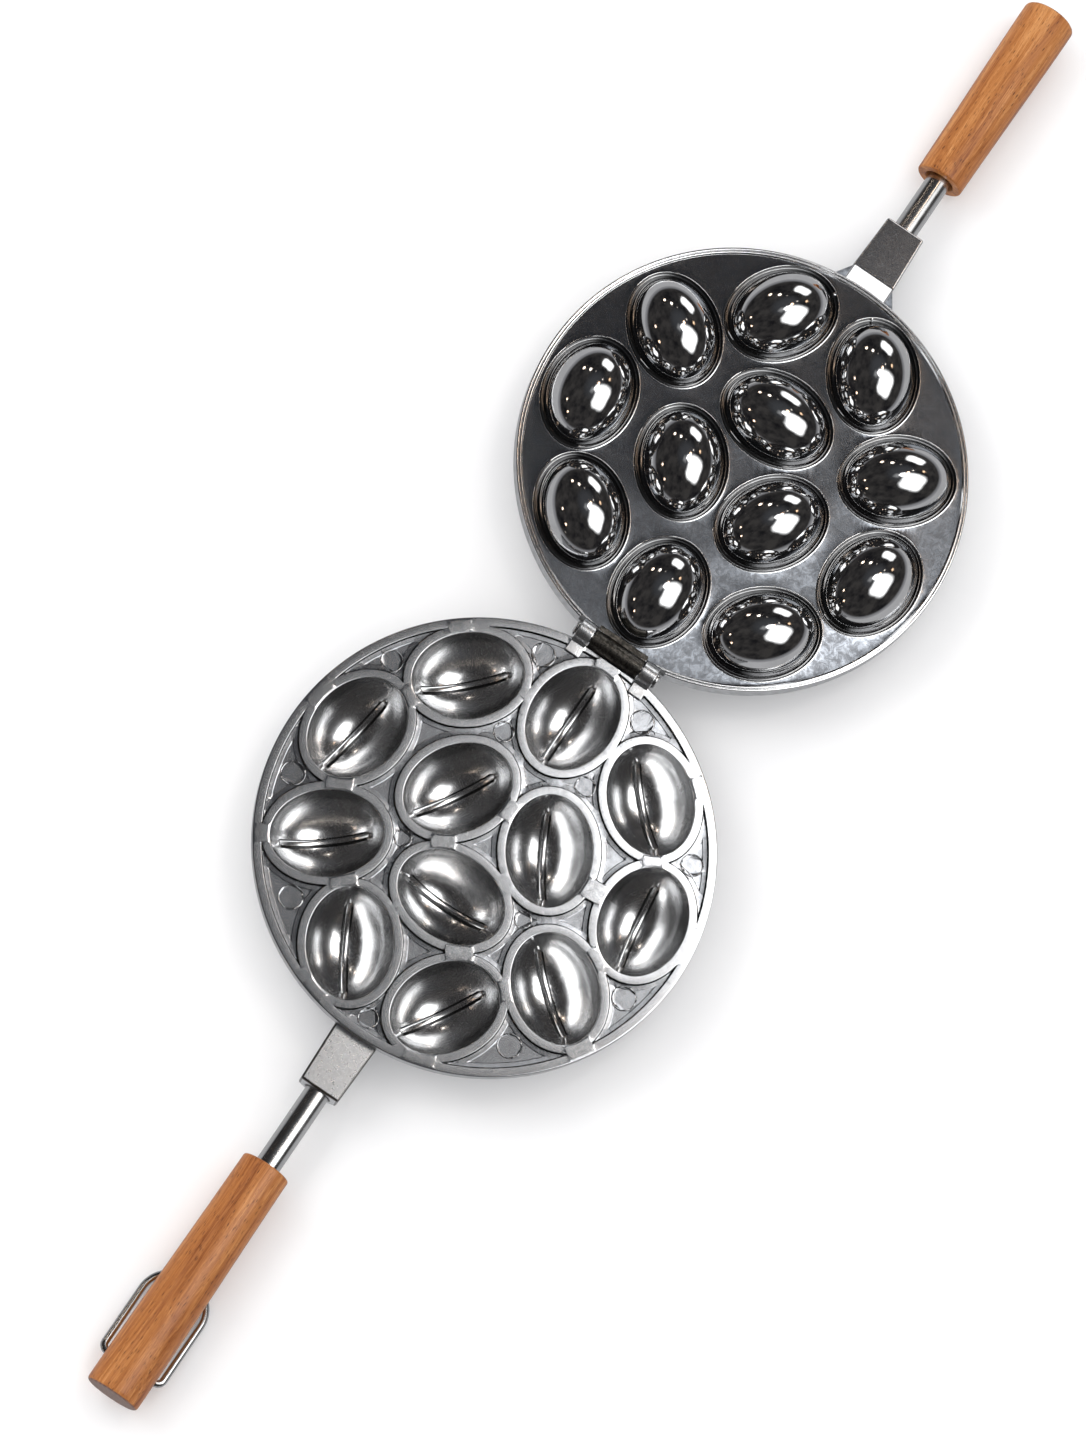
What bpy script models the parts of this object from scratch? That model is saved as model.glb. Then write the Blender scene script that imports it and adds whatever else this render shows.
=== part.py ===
"""Stove-top walnut-cookie mould: two hinged cast plates on long handles.

The cavity plate and the dome plate lie open side by side, parting faces up.
The handles run along X, the hinge axis runs along Y, Z is up, and the pads
under the nut cups stand on Z = 0.  Lengths below are in millimetres.
"""
import math

import bmesh
import bpy
from mathutils import Matrix, Vector

MM = 0.001

# ---------------------------------------------------------------- dimensions
PLATE_R = 88.0            # outer radius of both plates
HINGE_OFFSET = 90.0       # plate centre to hinge axis
HINGE_X = 9.5             # hinge axis, so that the origin is under the middle
PART_Z = 25.4             # height of the parting plane, through the hinge axis
PART_GAP = 0.15           # each face stays this far under the parting plane

NUT_A, NUT_B = 21.5, 16.5     # half length and half width of a cavity's mouth
NUT_DEPTH = 20.5              # cavity depth
RIB_W, RIB_H = 1.8, 2.0       # suture rib along each cavity's floor
CUP_WALL = 1.9                # cup wall beside the mouth
LAND_W = 3.3                  # raised land round each mouth
RIM_W = 3.4                   # raised land round the cavity plate's edge
POCKET_DEPTH = 1.5            # sunken field between the lands
DECK_BOTTOM = -5.65

DOME_A, DOME_B = 19.6, 14.6   # half length and half width of a dome
DOME_TOP = 13.5               # dome top above the parting plane
MOAT_W = 2.0                  # the moat's edge beyond the cavity's mouth
MOAT_DEPTH = 1.2
FIELD_DROP = 0.75             # dome plate's field under its rim bead
BEAD_W = 2.4                  # dome plate's rim bead
SKIRT_BOTTOM = -7.65          # lower edge of the dome plate's rim

PIN_R = 2.0
CLEAR = 0.3                   # running and fitting clearance
LUG_R = 4.9                   # the cavity plate's two outer knuckles
LUG_IN, LUG_OUT = 11.3, 17.3  # from side to side along the hinge axis
TONGUE_R = 4.0                # the dome plate's middle knuckle
TONGUE_HALF = 10.9
STOP_X, STOP_HALF = -1.7, 6.0   # toe that stops the plates when they lie flat

HANDLE_Z = -11.5              # rod axis below the parting plane
ROD_R = 4.9
ROD_IN = 84.4                 # the rod's inner end, from the plate's centre
ROD_OUT = 196.0               # its end inside the grip
SOCKET_TOP, SOCKET_BOTTOM = -4.5, -18.0
SOCKET_END = 112.0            # cavity side
DOME_SOCKET_END = 119.5
CROSS_PIN_R = 2.0
CROSS_PIN_S = 100.0           # cross pin, from the plate's centre
GRIP_NEAR = 146.0
GRIP_END = 248.0              # the cavity side's grip carries the loop
DOME_GRIP_END = 229.0
GRIP_R_NEAR, GRIP_R_FAR = 9.8, 10.9

WIRE_R = 1.5
LOOP_S = 235.0                # loop pivot, from the plate's centre
LOOP_Z = -15.0
LOOP_HALF = 12.9              # half width between the wire's centres
LOOP_LEG = 28.2               # pivot to the centre of the round end
LOOP_REST = math.radians(12.3)    # the loop hangs down to the table
LOOP_BEND = 2.6
LOOP_IN = 5.2                 # the turned-in ends stop here

# Nut layout: radius, angle from the hinge side, angle of the long axis.
# It is symmetric about the handle's line: nine outside, three inside.
HALF_RING = [(65.5, 39.5, 135.0), (65.5, 81.5, 171.0),
             (60.0, 120.5, 130.0), (64.0, 160.5, 30.0), (24.0, 60.0, 150.0)]
NUTS = [(60.0, 0.0, 0.0), (24.0, 180.0, 90.0)]
for _r, _t, _p in HALF_RING:
    NUTS.append((_r, _t, _p))
    NUTS.append((_r, -_t, -_p))

ALU = ("cast_aluminium", (0.62, 0.63, 0.64, 1.0), 0.32, 1.0)
DARK_ALU = ("polished_aluminium", (0.42, 0.44, 0.46, 1.0), 0.22, 1.0)
STEEL = ("plated_steel", (0.72, 0.72, 0.73, 1.0), 0.12, 1.0)
WIRE = ("wire_steel", (0.50, 0.49, 0.47, 1.0), 0.28, 1.0)
BEECH = ("varnished_beech", (0.58, 0.29, 0.11, 1.0), 0.30, 0.0)


# ------------------------------------------------------------------ helpers
def clear_scene():
    for obj in list(bpy.data.objects):
        bpy.data.objects.remove(obj, do_unlink=True)


def material(spec, suffix):
    name, colour, rough, metal = spec
    mat = bpy.data.materials.new(name + "_" + suffix)
    mat.use_nodes = True
    bsdf = mat.node_tree.nodes["Principled BSDF"]
    bsdf.inputs["Base Color"].default_value = colour
    bsdf.inputs["Roughness"].default_value = rough
    bsdf.inputs["Metallic"].default_value = metal
    mat.diffuse_color = colour
    return mat


def from_bmesh(name, bm, origin, spec=None):
    """A new object at origin (mm); the bmesh is in mm about that origin."""
    bmesh.ops.scale(bm, vec=(MM, MM, MM), verts=bm.verts)
    bmesh.ops.recalc_face_normals(bm, faces=bm.faces)
    mesh = bpy.data.meshes.new(name)
    bm.to_mesh(mesh)
    bm.free()
    mesh.shade_smooth()
    mesh.set_sharp_from_angle(angle=math.radians(32.0))
    obj = bpy.data.objects.new(name, mesh)
    obj.location = Vector(origin) * MM
    bpy.context.scene.collection.objects.link(obj)
    if spec is not None:
        mesh.materials.append(material(spec, name))
    return obj


def tool(name, bm, origin):
    """A cutter or a building block that isn't a piece of its own."""
    obj = from_bmesh(name, bm, origin)
    obj.hide_render = True
    obj.display_type = 'WIRE'
    return obj


def boolean(obj, other, operation):
    mod = obj.modifiers.new(operation.lower() + "_" + other.name, 'BOOLEAN')
    mod.operation = operation
    mod.solver = 'EXACT'
    mod.object = other


def stack(bm, rings, cap_low=True, cap_high=True):
    """Skin a list of equal rings of points; close both ends."""
    rows = [[bm.verts.new(p) for p in ring] for ring in rings]
    n = len(rows[0])
    for low, high in zip(rows, rows[1:]):
        for i in range(n):
            j = (i + 1) % n
            bm.faces.new((low[i], low[j], high[j], high[i]))
    if cap_low:
        bm.faces.new(list(reversed(rows[0])))
    if cap_high:
        bm.faces.new(rows[-1])
    return bm


def lathe(bm, profile, segments, axis='Z'):
    """Turn (radius, height) points round an axis; radius 0 ends at a pole."""
    def place(r, h, a):
        x, y = r * math.cos(a), r * math.sin(a)
        if axis == 'X':
            return Vector((h, x, y))
        if axis == 'Y':
            return Vector((x, h, y))
        return Vector((x, y, h))
    rows = []
    for r, h in profile:
        if r < 1e-6:
            rows.append([bm.verts.new(place(0.0, h, 0.0))])
        else:
            rows.append([bm.verts.new(place(r, h, 2 * math.pi * (i + 0.5) / segments))
                         for i in range(segments)])
    for low, high in zip(rows, rows[1:]):
        for i in range(segments):
            j = (i + 1) % segments
            if len(low) == 1:
                bm.faces.new((low[0], high[j], high[i]))
            elif len(high) == 1:
                bm.faces.new((low[i], low[j], high[0]))
            else:
                bm.faces.new((low[i], low[j], high[j], high[i]))
    return bm


def ellipse(cx, cy, phi, a, b, z, n):
    c, s = math.cos(phi), math.sin(phi)
    ring = []
    for i in range(n):
        t = 2 * math.pi * i / n
        x, y = a * math.cos(t), b * math.sin(t)
        ring.append(Vector((cx + x * c - y * s, cy + x * s + y * c, z)))
    return ring


def bowl(bm, nut, a, b, levels, n):
    """A closed elliptical body: levels are (scale, z) from one end to the other."""
    cx, cy, phi = nut
    stack(bm, [ellipse(cx, cy, phi, a * k, b * k, z, n) for k, z in levels])


def prism(bm, outline, z0, z1):
    stack(bm, [[Vector((x, y, z0)) for x, y in outline],
               [Vector((x, y, z1)) for x, y in outline]])


def side_prism(bm, outline, y0, y1):
    """Extrude an (x, z) outline along Y."""
    stack(bm, [[Vector((x, y0, z)) for x, z in outline],
               [Vector((x, y1, z)) for x, z in outline]])


def nut_places(mirror):
    """(x, y, angle) of each nut; the dome plate's are mirrored at the hinge."""
    out = []
    for r, t, p in NUTS:
        t, p = math.radians(t), math.radians(p)
        x, y = r * math.cos(t), r * math.sin(t)
        out.append((-x, y, math.pi - p) if mirror else (x, y, p))
    return out


def socket_block(bm, sign, end, inner, facet):
    """The tapered handle socket; sign points away from the hinge along X."""
    top, low = SOCKET_TOP, SOCKET_BOTTOM
    near, far, cut = 9.4, 8.3, 3.4

    def section(s, half, z_top):
        return [Vector((sign * s, -half, z_top)), Vector((sign * s, half, z_top)),
                Vector((sign * s, half, low + cut)), Vector((sign * s, half - cut, low)),
                Vector((sign * s, cut - half, low)), Vector((sign * s, -half, low + cut))]
    rings = [section(inner, near, facet[0][1])]
    rings += [section(s, near, z) for s, z in facet]
    rings.append(section(end, far, top))
    stack(bm, rings)


# ------------------------------------------------------------- cavity plate
def build_cavity_plate():
    origin = (HINGE_X - HINGE_OFFSET, 0.0, PART_Z)
    top = -PART_GAP
    field = top - POCKET_DEPTH
    r_in = PLATE_R - RIM_W

    bm = lathe(bmesh.new(), [(0.0, field), (r_in, field), (r_in, top),
                             (PLATE_R - 0.5, top), (PLATE_R, top - 0.5),
                             (PLATE_R, DECK_BOTTOM + 0.6), (PLATE_R - 0.6, DECK_BOTTOM),
                             (0.0, DECK_BOTTOM)], 72)
    plate = from_bmesh("cavity_plate", bm, origin, ALU)

    nuts = nut_places(False)
    for k, nut in enumerate(nuts):
        bm = bmesh.new()
        bowl(bm, nut, NUT_A + LAND_W, NUT_B + LAND_W, [(1.0, field - 1.0), (1.0, top)], 24)
        boolean(plate, tool("land_%02d" % k, bm, origin), 'UNION')

    # cup shells under the deck, each with a flat pad to stand on
    bm = bmesh.new()
    for nut in nuts:
        bowl(bm, nut, NUT_A + CUP_WALL, NUT_B + CUP_WALL,
             [(0.24, -PART_Z), (0.62, -PART_Z + 3.2), (0.86, -PART_Z + 8.2),
              (1.0, DECK_BOTTOM - 4.0), (1.0, field - 1.6)], 18)
    boolean(plate, tool("cup_shells", bm, origin), 'UNION')

    # hinge lugs: a round knuckle on an arm that leaves the rim
    bm = bmesh.new()
    for side in (-1, 1):
        y0, y1 = sorted((side * LUG_IN, side * LUG_OUT))
        arc = [(HINGE_OFFSET + LUG_R * math.cos(math.radians(a)),
                LUG_R * math.sin(math.radians(a))) for a in range(180, -91, -18)]
        outline = [(HINGE_OFFSET - 9.5, top)] + [(x, z) for x, z in arc if z > -PART_GAP - LUG_R - 1]
        outline[1] = (HINGE_OFFSET - LUG_R, top)
        outline += [(HINGE_OFFSET - 3.0, -7.6), (HINGE_OFFSET - 9.5, -7.6)]
        side_prism(bm, outline, y0, y1)
    boolean(plate, tool("lugs", bm, origin), 'UNION')

    bm = bmesh.new()
    socket_block(bm, -1.0, SOCKET_END, 79.0, [(80.0, SOCKET_TOP)])
    boolean(plate, tool("cavity_socket", bm, origin), 'UNION')

    # the twelve cavities
    bm = bmesh.new()
    levels = [(1.0, 2.0), (1.0, top)]
    for deg in (24, 44, 61, 76):
        t = math.radians(deg)
        levels.append((math.cos(t), top - NUT_DEPTH * math.sin(t)))
    for nut in nuts:
        bowl(bm, nut, NUT_A, NUT_B, levels, 20)
    boolean(plate, tool("cavities", bm, origin), 'DIFFERENCE')

    # suture ribs that follow the cavity floors
    bm = bmesh.new()
    steps = 8
    for cx, cy, phi in nuts:
        c, s = math.cos(phi), math.sin(phi)
        outer, inner = [], []
        for i in range(steps + 1):
            t = math.radians(38.0 + 104.0 * i / steps)
            h = RIB_H * math.sin(math.pi * (0.12 + 0.76 * i / steps)) ** 0.6
            outer.append(((NUT_A + 0.9) * math.cos(t), top - (NUT_DEPTH + 0.9) * math.sin(t)))
            inner.append(((NUT_A - h) * math.cos(t), top - (NUT_DEPTH - h) * math.sin(t)))
        outline = outer + inner[::-1]
        rings = []
        for w in (-RIB_W / 2, RIB_W / 2):
            rings.append([Vector((cx + u * c - w * s, cy + u * s + w * c, z)) for u, z in outline])
        stack(bm, rings)
    boolean(plate, tool("ribs", bm, origin), 'UNION')

    # bores: hinge pin, room for the tongue, handle rod, cross pin
    at_hinge = (HINGE_X, 0.0, PART_Z)
    bm = lathe(bmesh.new(), [(0.0, -22.0), (PIN_R + CLEAR, -22.0),
                             (PIN_R + CLEAR, 22.0), (0.0, 22.0)], 14, 'Y')
    boolean(plate, tool("cavity_pin_bore", bm, at_hinge), 'DIFFERENCE')
    gap = TONGUE_HALF + CLEAR
    bm = lathe(bmesh.new(), [(0.0, -gap), (TONGUE_R + 0.45, -gap),
                             (TONGUE_R + 0.45, gap), (0.0, gap)], 20, 'Y')
    boolean(plate, tool("tongue_room", bm, at_hinge), 'DIFFERENCE')
    handle_bores(plate, origin, -1.0, SOCKET_END)
    return plate


def handle_bores(plate, origin, sign, end):
    rod_axis = (origin[0], 0.0, PART_Z + HANDLE_Z)
    bm = lathe(bmesh.new(), [(0.0, sign * (ROD_IN - CLEAR)), (ROD_R + CLEAR, sign * (ROD_IN - CLEAR)),
                             (ROD_R + CLEAR, sign * (end + 2.0)), (0.0, sign * (end + 2.0))], 20, 'X')
    boolean(plate, tool(plate.name + "_rod_bore", bm, rod_axis), 'DIFFERENCE')
    pin_axis = (origin[0] + sign * CROSS_PIN_S, 0.0, PART_Z)
    bm = lathe(bmesh.new(), [(0.0, SOCKET_BOTTOM - 2.0), (CROSS_PIN_R + CLEAR, SOCKET_BOTTOM - 2.0),
                             (CROSS_PIN_R + CLEAR, SOCKET_TOP - 1.7), (0.0, SOCKET_TOP - 1.7)], 12)
    boolean(plate, tool(plate.name + "_cross_bore", bm, pin_axis), 'DIFFERENCE')


# --------------------------------------------------------------- dome plate
def build_dome_plate():
    origin = (HINGE_X + HINGE_OFFSET, 0.0, PART_Z)
    hinge = (HINGE_X, 0.0, PART_Z)
    top = -PART_GAP
    field = top - FIELD_DROP
    r_in = PLATE_R - BEAD_W
    deck = -5.4

    # turned plate; its origin is the hinge axis, because it swings there
    bm = lathe(bmesh.new(), [(0.0, field), (r_in, field), (r_in, top),
                             (PLATE_R - 0.5, top), (PLATE_R, top - 0.5),
                             (PLATE_R, SKIRT_BOTTOM + 0.5), (PLATE_R - 0.5, SKIRT_BOTTOM),
                             (PLATE_R - 3.6, SKIRT_BOTTOM), (PLATE_R - 3.6, deck),
                             (0.0, deck)], 72)
    bmesh.ops.translate(bm, verts=bm.verts, vec=(HINGE_OFFSET, 0.0, 0.0))
    plate = from_bmesh("dome_plate", bm, hinge, DARK_ALU)

    nuts = nut_places(True)
    bm = bmesh.new()
    for nut in nuts:
        bowl(bm, nut, NUT_A + MOAT_W, NUT_B + MOAT_W, [(1.0, field - MOAT_DEPTH), (1.0, 2.0)], 24)
    boolean(plate, tool("moats", bm, origin), 'DIFFERENCE')

    base = field - MOAT_DEPTH
    rise = DOME_TOP - base
    levels = [(1.0, base - 0.8), (1.0, base)]
    for deg in (25, 46, 64, 79):
        t = math.radians(deg)
        levels.append((math.cos(t), base + rise * math.sin(t) / math.sin(math.radians(79))))
    bm = bmesh.new()
    for nut in nuts:
        bowl(bm, nut, DOME_A, DOME_B, levels, 20)
    boolean(plate, tool("domes", bm, origin), 'UNION')

    # the casting is hollow behind each dome
    back = [(1.0, deck - 3.0), (1.0, deck)]
    for deg in (30, 55, 76):
        t = math.radians(deg)
        back.append((math.cos(t), deck + 14.6 * math.sin(t)))
    bm = bmesh.new()
    for nut in nuts:
        bowl(bm, nut, DOME_A - 3.7, DOME_B - 3.7, back, 16)
    boolean(plate, tool("dome_backs", bm, origin), 'DIFFERENCE')

    # room for the two lugs, then the tongue between them
    bm = bmesh.new()
    for side in (-1, 1):
        y0, y1 = sorted((side * (LUG_IN - CLEAR - 0.05), side * (LUG_OUT + 2.2)))
        lathe(bm, [(0.0, y0), (LUG_R + 0.45, y0), (LUG_R + 0.45, y1), (0.0, y1)], 20, 'Y')
    boolean(plate, tool("lug_room", bm, hinge), 'DIFFERENCE')
    bm = bmesh.new()
    outline = [(TONGUE_R * math.cos(math.radians(a)), TONGUE_R * math.sin(math.radians(a)))
               for a in range(0, 271, 18)]
    outline[0] = (TONGUE_R, top)
    outline.append((1.5, -5.2))
    outline.append((6.5, -5.2))
    outline.append((6.5, top))
    outline = outline[::-1]
    side_prism(bm, outline, -TONGUE_HALF, TONGUE_HALF)
    boolean(plate, tool("tongue", bm, hinge), 'UNION')
    # a toe under the tongue meets the other rim when the plates lie flat
    bm = bmesh.new()
    side_prism(bm, [(STOP_X, -5.1), (2.4, -5.1), (2.4, -2.4), (0.3, -2.4), (STOP_X, -3.9)],
               -STOP_HALF, STOP_HALF)
    boolean(plate, tool("stop_toe", bm, hinge), 'UNION')
    bm = lathe(bmesh.new(), [(0.0, -22.0), (PIN_R + CLEAR, -22.0),
                             (PIN_R + CLEAR, 22.0), (0.0, 22.0)], 14, 'Y')
    boolean(plate, tool("dome_pin_bore", bm, hinge), 'DIFFERENCE')

    bm = bmesh.new()
    socket_block(bm, 1.0, DOME_SOCKET_END, 79.0, [(87.6, field - 0.1), (95.5, SOCKET_TOP)])
    boolean(plate, tool("dome_socket", bm, origin), 'UNION')
    handle_bores(plate, origin, 1.0, DOME_SOCKET_END)
    return plate


# ------------------------------------------------------- hinge and handles
def build_hinge_pin():
    inner = LUG_OUT + CLEAR
    bm = lathe(bmesh.new(), [(0.0, -inner - 1.5), (2.6, -inner - 1.5), (3.4, -inner - 0.9),
                             (3.4, -inner), (PIN_R, -inner), (PIN_R, inner), (3.0, inner),
                             (3.0, inner + 0.7), (2.2, inner + 1.3), (0.0, inner + 1.3)], 14, 'Y')
    return from_bmesh("hinge_pin", bm, (HINGE_X, 0.0, PART_Z), STEEL)


def build_rod(name, cx, sign):
    z = PART_Z + HANDLE_Z
    bm = lathe(bmesh.new(), [(0.0, sign * ROD_IN), (ROD_R - 0.7, sign * ROD_IN),
                             (ROD_R, sign * (ROD_IN + 0.7)), (ROD_R, sign * (ROD_OUT - 1.0)),
                             (ROD_R - 1.0, sign * ROD_OUT), (0.0, sign * ROD_OUT)], 20, 'X')
    rod = from_bmesh(name, bm, (cx, 0.0, z), STEEL)
    bm = lathe(bmesh.new(), [(0.0, -8.0), (CROSS_PIN_R + CLEAR, -8.0),
                             (CROSS_PIN_R + CLEAR, 8.0), (0.0, 8.0)], 12)
    boolean(rod, tool(name + "_cross_hole", bm, (cx + sign * CROSS_PIN_S, 0.0, z)), 'DIFFERENCE')
    return rod


def build_cross_pin(name, cx, sign):
    low, high = SOCKET_BOTTOM + 0.2, SOCKET_TOP - 2.1
    bm = lathe(bmesh.new(), [(0.0, low), (CROSS_PIN_R - 0.3, low), (CROSS_PIN_R, low + 0.3),
                             (CROSS_PIN_R, high - 0.4), (CROSS_PIN_R - 0.4, high), (0.0, high)], 12)
    return from_bmesh(name, bm, (cx + sign * CROSS_PIN_S, 0.0, PART_Z), STEEL)


def build_grip(name, cx, sign, end):
    bore = ROD_R + CLEAR
    s0 = GRIP_NEAR
    prof = [(0.0, ROD_OUT + 0.4), (bore, ROD_OUT + 0.4), (bore, s0 + 2.4), (bore + 1.1, s0),
            (GRIP_R_NEAR - 1.3, s0), (GRIP_R_NEAR - 0.4, s0 + 0.5), (GRIP_R_NEAR, s0 + 1.6)]
    for f in (0.35, 0.7, 1.0):
        s = s0 + 1.6 + f * (end - 8.0 - s0 - 1.6)
        prof.append((GRIP_R_NEAR + (GRIP_R_FAR - GRIP_R_NEAR) * f, s))
    prof += [(GRIP_R_FAR, end - 1.8), (GRIP_R_FAR - 0.5, end - 0.6),
             (GRIP_R_FAR - 1.6, end), (0.0, end)]
    bm = lathe(bmesh.new(), [(r, sign * s) for r, s in prof], 20, 'X')
    return from_bmesh(name, bm, (cx, 0.0, PART_Z + HANDLE_Z), BEECH)


# ------------------------------------------------------------ locking loop
def loop_path():
    """Centre line about the pivot: turned-in end, leg, round end, leg, end."""
    half = []
    for y in (LOOP_IN, LOOP_HALF - LOOP_BEND):
        half.append((0.0, y))
    for i in range(1, 5):
        t = math.radians(90.0 * i / 4)
        half.append((LOOP_BEND - LOOP_BEND * math.cos(t),
                     LOOP_HALF - LOOP_BEND + LOOP_BEND * math.sin(t)))
    half.append((LOOP_LEG * 0.5, LOOP_HALF))
    half.append((LOOP_LEG, LOOP_HALF))
    steps = 7
    for i in range(1, steps + 1):
        t = math.radians(90.0 * i / steps)
        half.append((LOOP_LEG + LOOP_HALF * math.sin(t), LOOP_HALF * math.cos(t)))
    tip = half.pop()
    return ([(x, -y) for x, y in half] + [(tip[0], 0.0)] + [(x, y) for x, y in reversed(half)])


def build_loop():
    points = loop_path()
    curve = bpy.data.curves.new("locking_loop", 'CURVE')
    curve.dimensions = '3D'
    curve.bevel_depth = WIRE_R * MM
    curve.bevel_resolution = 3
    curve.use_fill_caps = True
    curve.resolution_u = 1
    spline = curve.splines.new('POLY')
    spline.points.add(len(points) - 1)
    for p, (x, y) in zip(spline.points, points):
        p.co = (x * MM, y * MM, 0.0, 1.0)
    obj = bpy.data.objects.new("locking_loop", curve)
    obj.location = Vector((HINGE_X - HINGE_OFFSET - LOOP_S, 0.0, PART_Z + LOOP_Z)) * MM
    obj.rotation_euler = (0.0, LOOP_REST, 0.0)
    curve.materials.append(material(WIRE, "locking_loop"))
    bpy.context.scene.collection.objects.link(obj)
    return obj


def build_loop_holes(grip):
    at = (HINGE_X - HINGE_OFFSET - LOOP_S, 0.0, PART_Z + LOOP_Z)
    bm = bmesh.new()
    for side in (-1, 1):
        y0, y1 = sorted((side * (LOOP_IN - 0.5), side * 14.0))
        lathe(bm, [(0.0, y0), (WIRE_R + CLEAR, y0), (WIRE_R + CLEAR, y1), (0.0, y1)], 12, 'Y')
    boolean(grip, tool("loop_holes", bm, at), 'DIFFERENCE')


def main():
    clear_scene()
    cx_cavity = HINGE_X - HINGE_OFFSET
    cx_dome = HINGE_X + HINGE_OFFSET
    build_cavity_plate()
    build_dome_plate()
    build_hinge_pin()
    build_rod("cavity_handle_rod", cx_cavity, -1.0)
    build_rod("dome_handle_rod", cx_dome, 1.0)
    build_cross_pin("cavity_socket_pin", cx_cavity, -1.0)
    build_cross_pin("dome_socket_pin", cx_dome, 1.0)
    grip = build_grip("cavity_handle_grip", cx_cavity, -1.0, GRIP_END)
    build_loop_holes(grip)
    build_grip("dome_handle_grip", cx_dome, 1.0, DOME_GRIP_END)
    build_loop()


main()
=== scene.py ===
"""Looks of the walnut-cookie mould: finely modelled pieces around the fixed frame.

Lengths are in millimetres until a mesh is finished; the frame is in metres.
Each plate is modelled about its own centre, with its parting plane at z = 0.
"""

import math

import bmesh
import bpy
import numpy as np
from mathutils import Matrix, Vector
from mathutils.geometry import delaunay_2d_cdt


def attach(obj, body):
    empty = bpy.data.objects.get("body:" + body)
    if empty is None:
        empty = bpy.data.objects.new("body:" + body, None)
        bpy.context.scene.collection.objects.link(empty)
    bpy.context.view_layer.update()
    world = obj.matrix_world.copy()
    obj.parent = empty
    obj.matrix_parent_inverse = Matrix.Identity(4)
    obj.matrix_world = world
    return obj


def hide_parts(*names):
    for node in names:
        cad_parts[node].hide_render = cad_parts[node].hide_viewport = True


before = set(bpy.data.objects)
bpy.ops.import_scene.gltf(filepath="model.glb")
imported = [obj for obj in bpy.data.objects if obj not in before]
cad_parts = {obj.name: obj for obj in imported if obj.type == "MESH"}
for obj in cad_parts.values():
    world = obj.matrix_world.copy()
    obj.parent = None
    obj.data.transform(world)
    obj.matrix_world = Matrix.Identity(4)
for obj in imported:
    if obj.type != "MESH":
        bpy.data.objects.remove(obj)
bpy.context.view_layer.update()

MM = 0.001

# ---------------------------------------------------------------- dimensions
PLATE_R = 88.0
HINGE_OFFSET = 90.0
HINGE_X = 9.5
PART_Z = 25.4
TOP = -0.15
LAND_Z = -0.25
NUT_A, NUT_B, NUT_DEPTH = 21.5, 16.5, 20.5
RIM_W, LAND_W = 3.4, 3.3
DECK_Z = -5.65
CUP_WALL = 1.9
DOME_A, DOME_B, DOME_TOP = 19.6, 14.6, 13.5
DOME_SWELL = 1.1             # the polished domes are a little fuller than the frame's
MOAT_W = 2.0
DOME_FIELD = -0.9
MOAT_FLOOR = -2.1
DOME_DECK = -5.4
SKIRT_Z = -7.65
HANDLE_Z = -11.5
ROD_R, ROD_IN, ROD_OUT = 4.9, 84.4, 196.0
SOCKET_TOP, SOCKET_BOTTOM = -4.5, -18.0
SOCKET_END, DOME_SOCKET_END = 112.0, 119.5
CROSS_S = 100.0
GRIP_NEAR, GRIP_END, DOME_GRIP_END = 146.0, 248.0, 229.0
GRIP_R_NEAR, GRIP_R_FAR = 9.8, 10.9
WIRE_R = 1.5
LOOP_S, LOOP_Z = 235.0, -15.0
LOOP_HALF, LOOP_LEG, LOOP_BEND, LOOP_IN = 12.9, 28.2, 2.6, 5.2
LOOP_REST = math.radians(12.3)

HALF_RING = [(65.5, 39.5, 135.0), (65.5, 81.5, 171.0),
             (60.0, 120.5, 130.0), (64.0, 160.5, 30.0), (24.0, 60.0, 150.0)]
NUTS = [(60.0, 0.0, 0.0), (24.0, 180.0, 90.0)]
for _r, _t, _p in HALF_RING:
    NUTS += [(_r, _t, _p), (_r, -_t, -_p)]

# round ejector marks in the sunken fields: place, angle from the hinge side, radius
DISCS = [(79.8, 180.0, 3.9)]
for _r, _t, _s in ((77.4, 17.0, 4.7), (78.6, 60.5, 4.3), (77.2, 104.0, 4.7), (76.4, 139.8, 4.7),
                   (44.5, 24.6, 4.0), (31.3, 119.8, 3.35)):
    DISCS += [(_r, _t, _s), (_r, -_t, _s)]
DISC_R = 4.6


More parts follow.
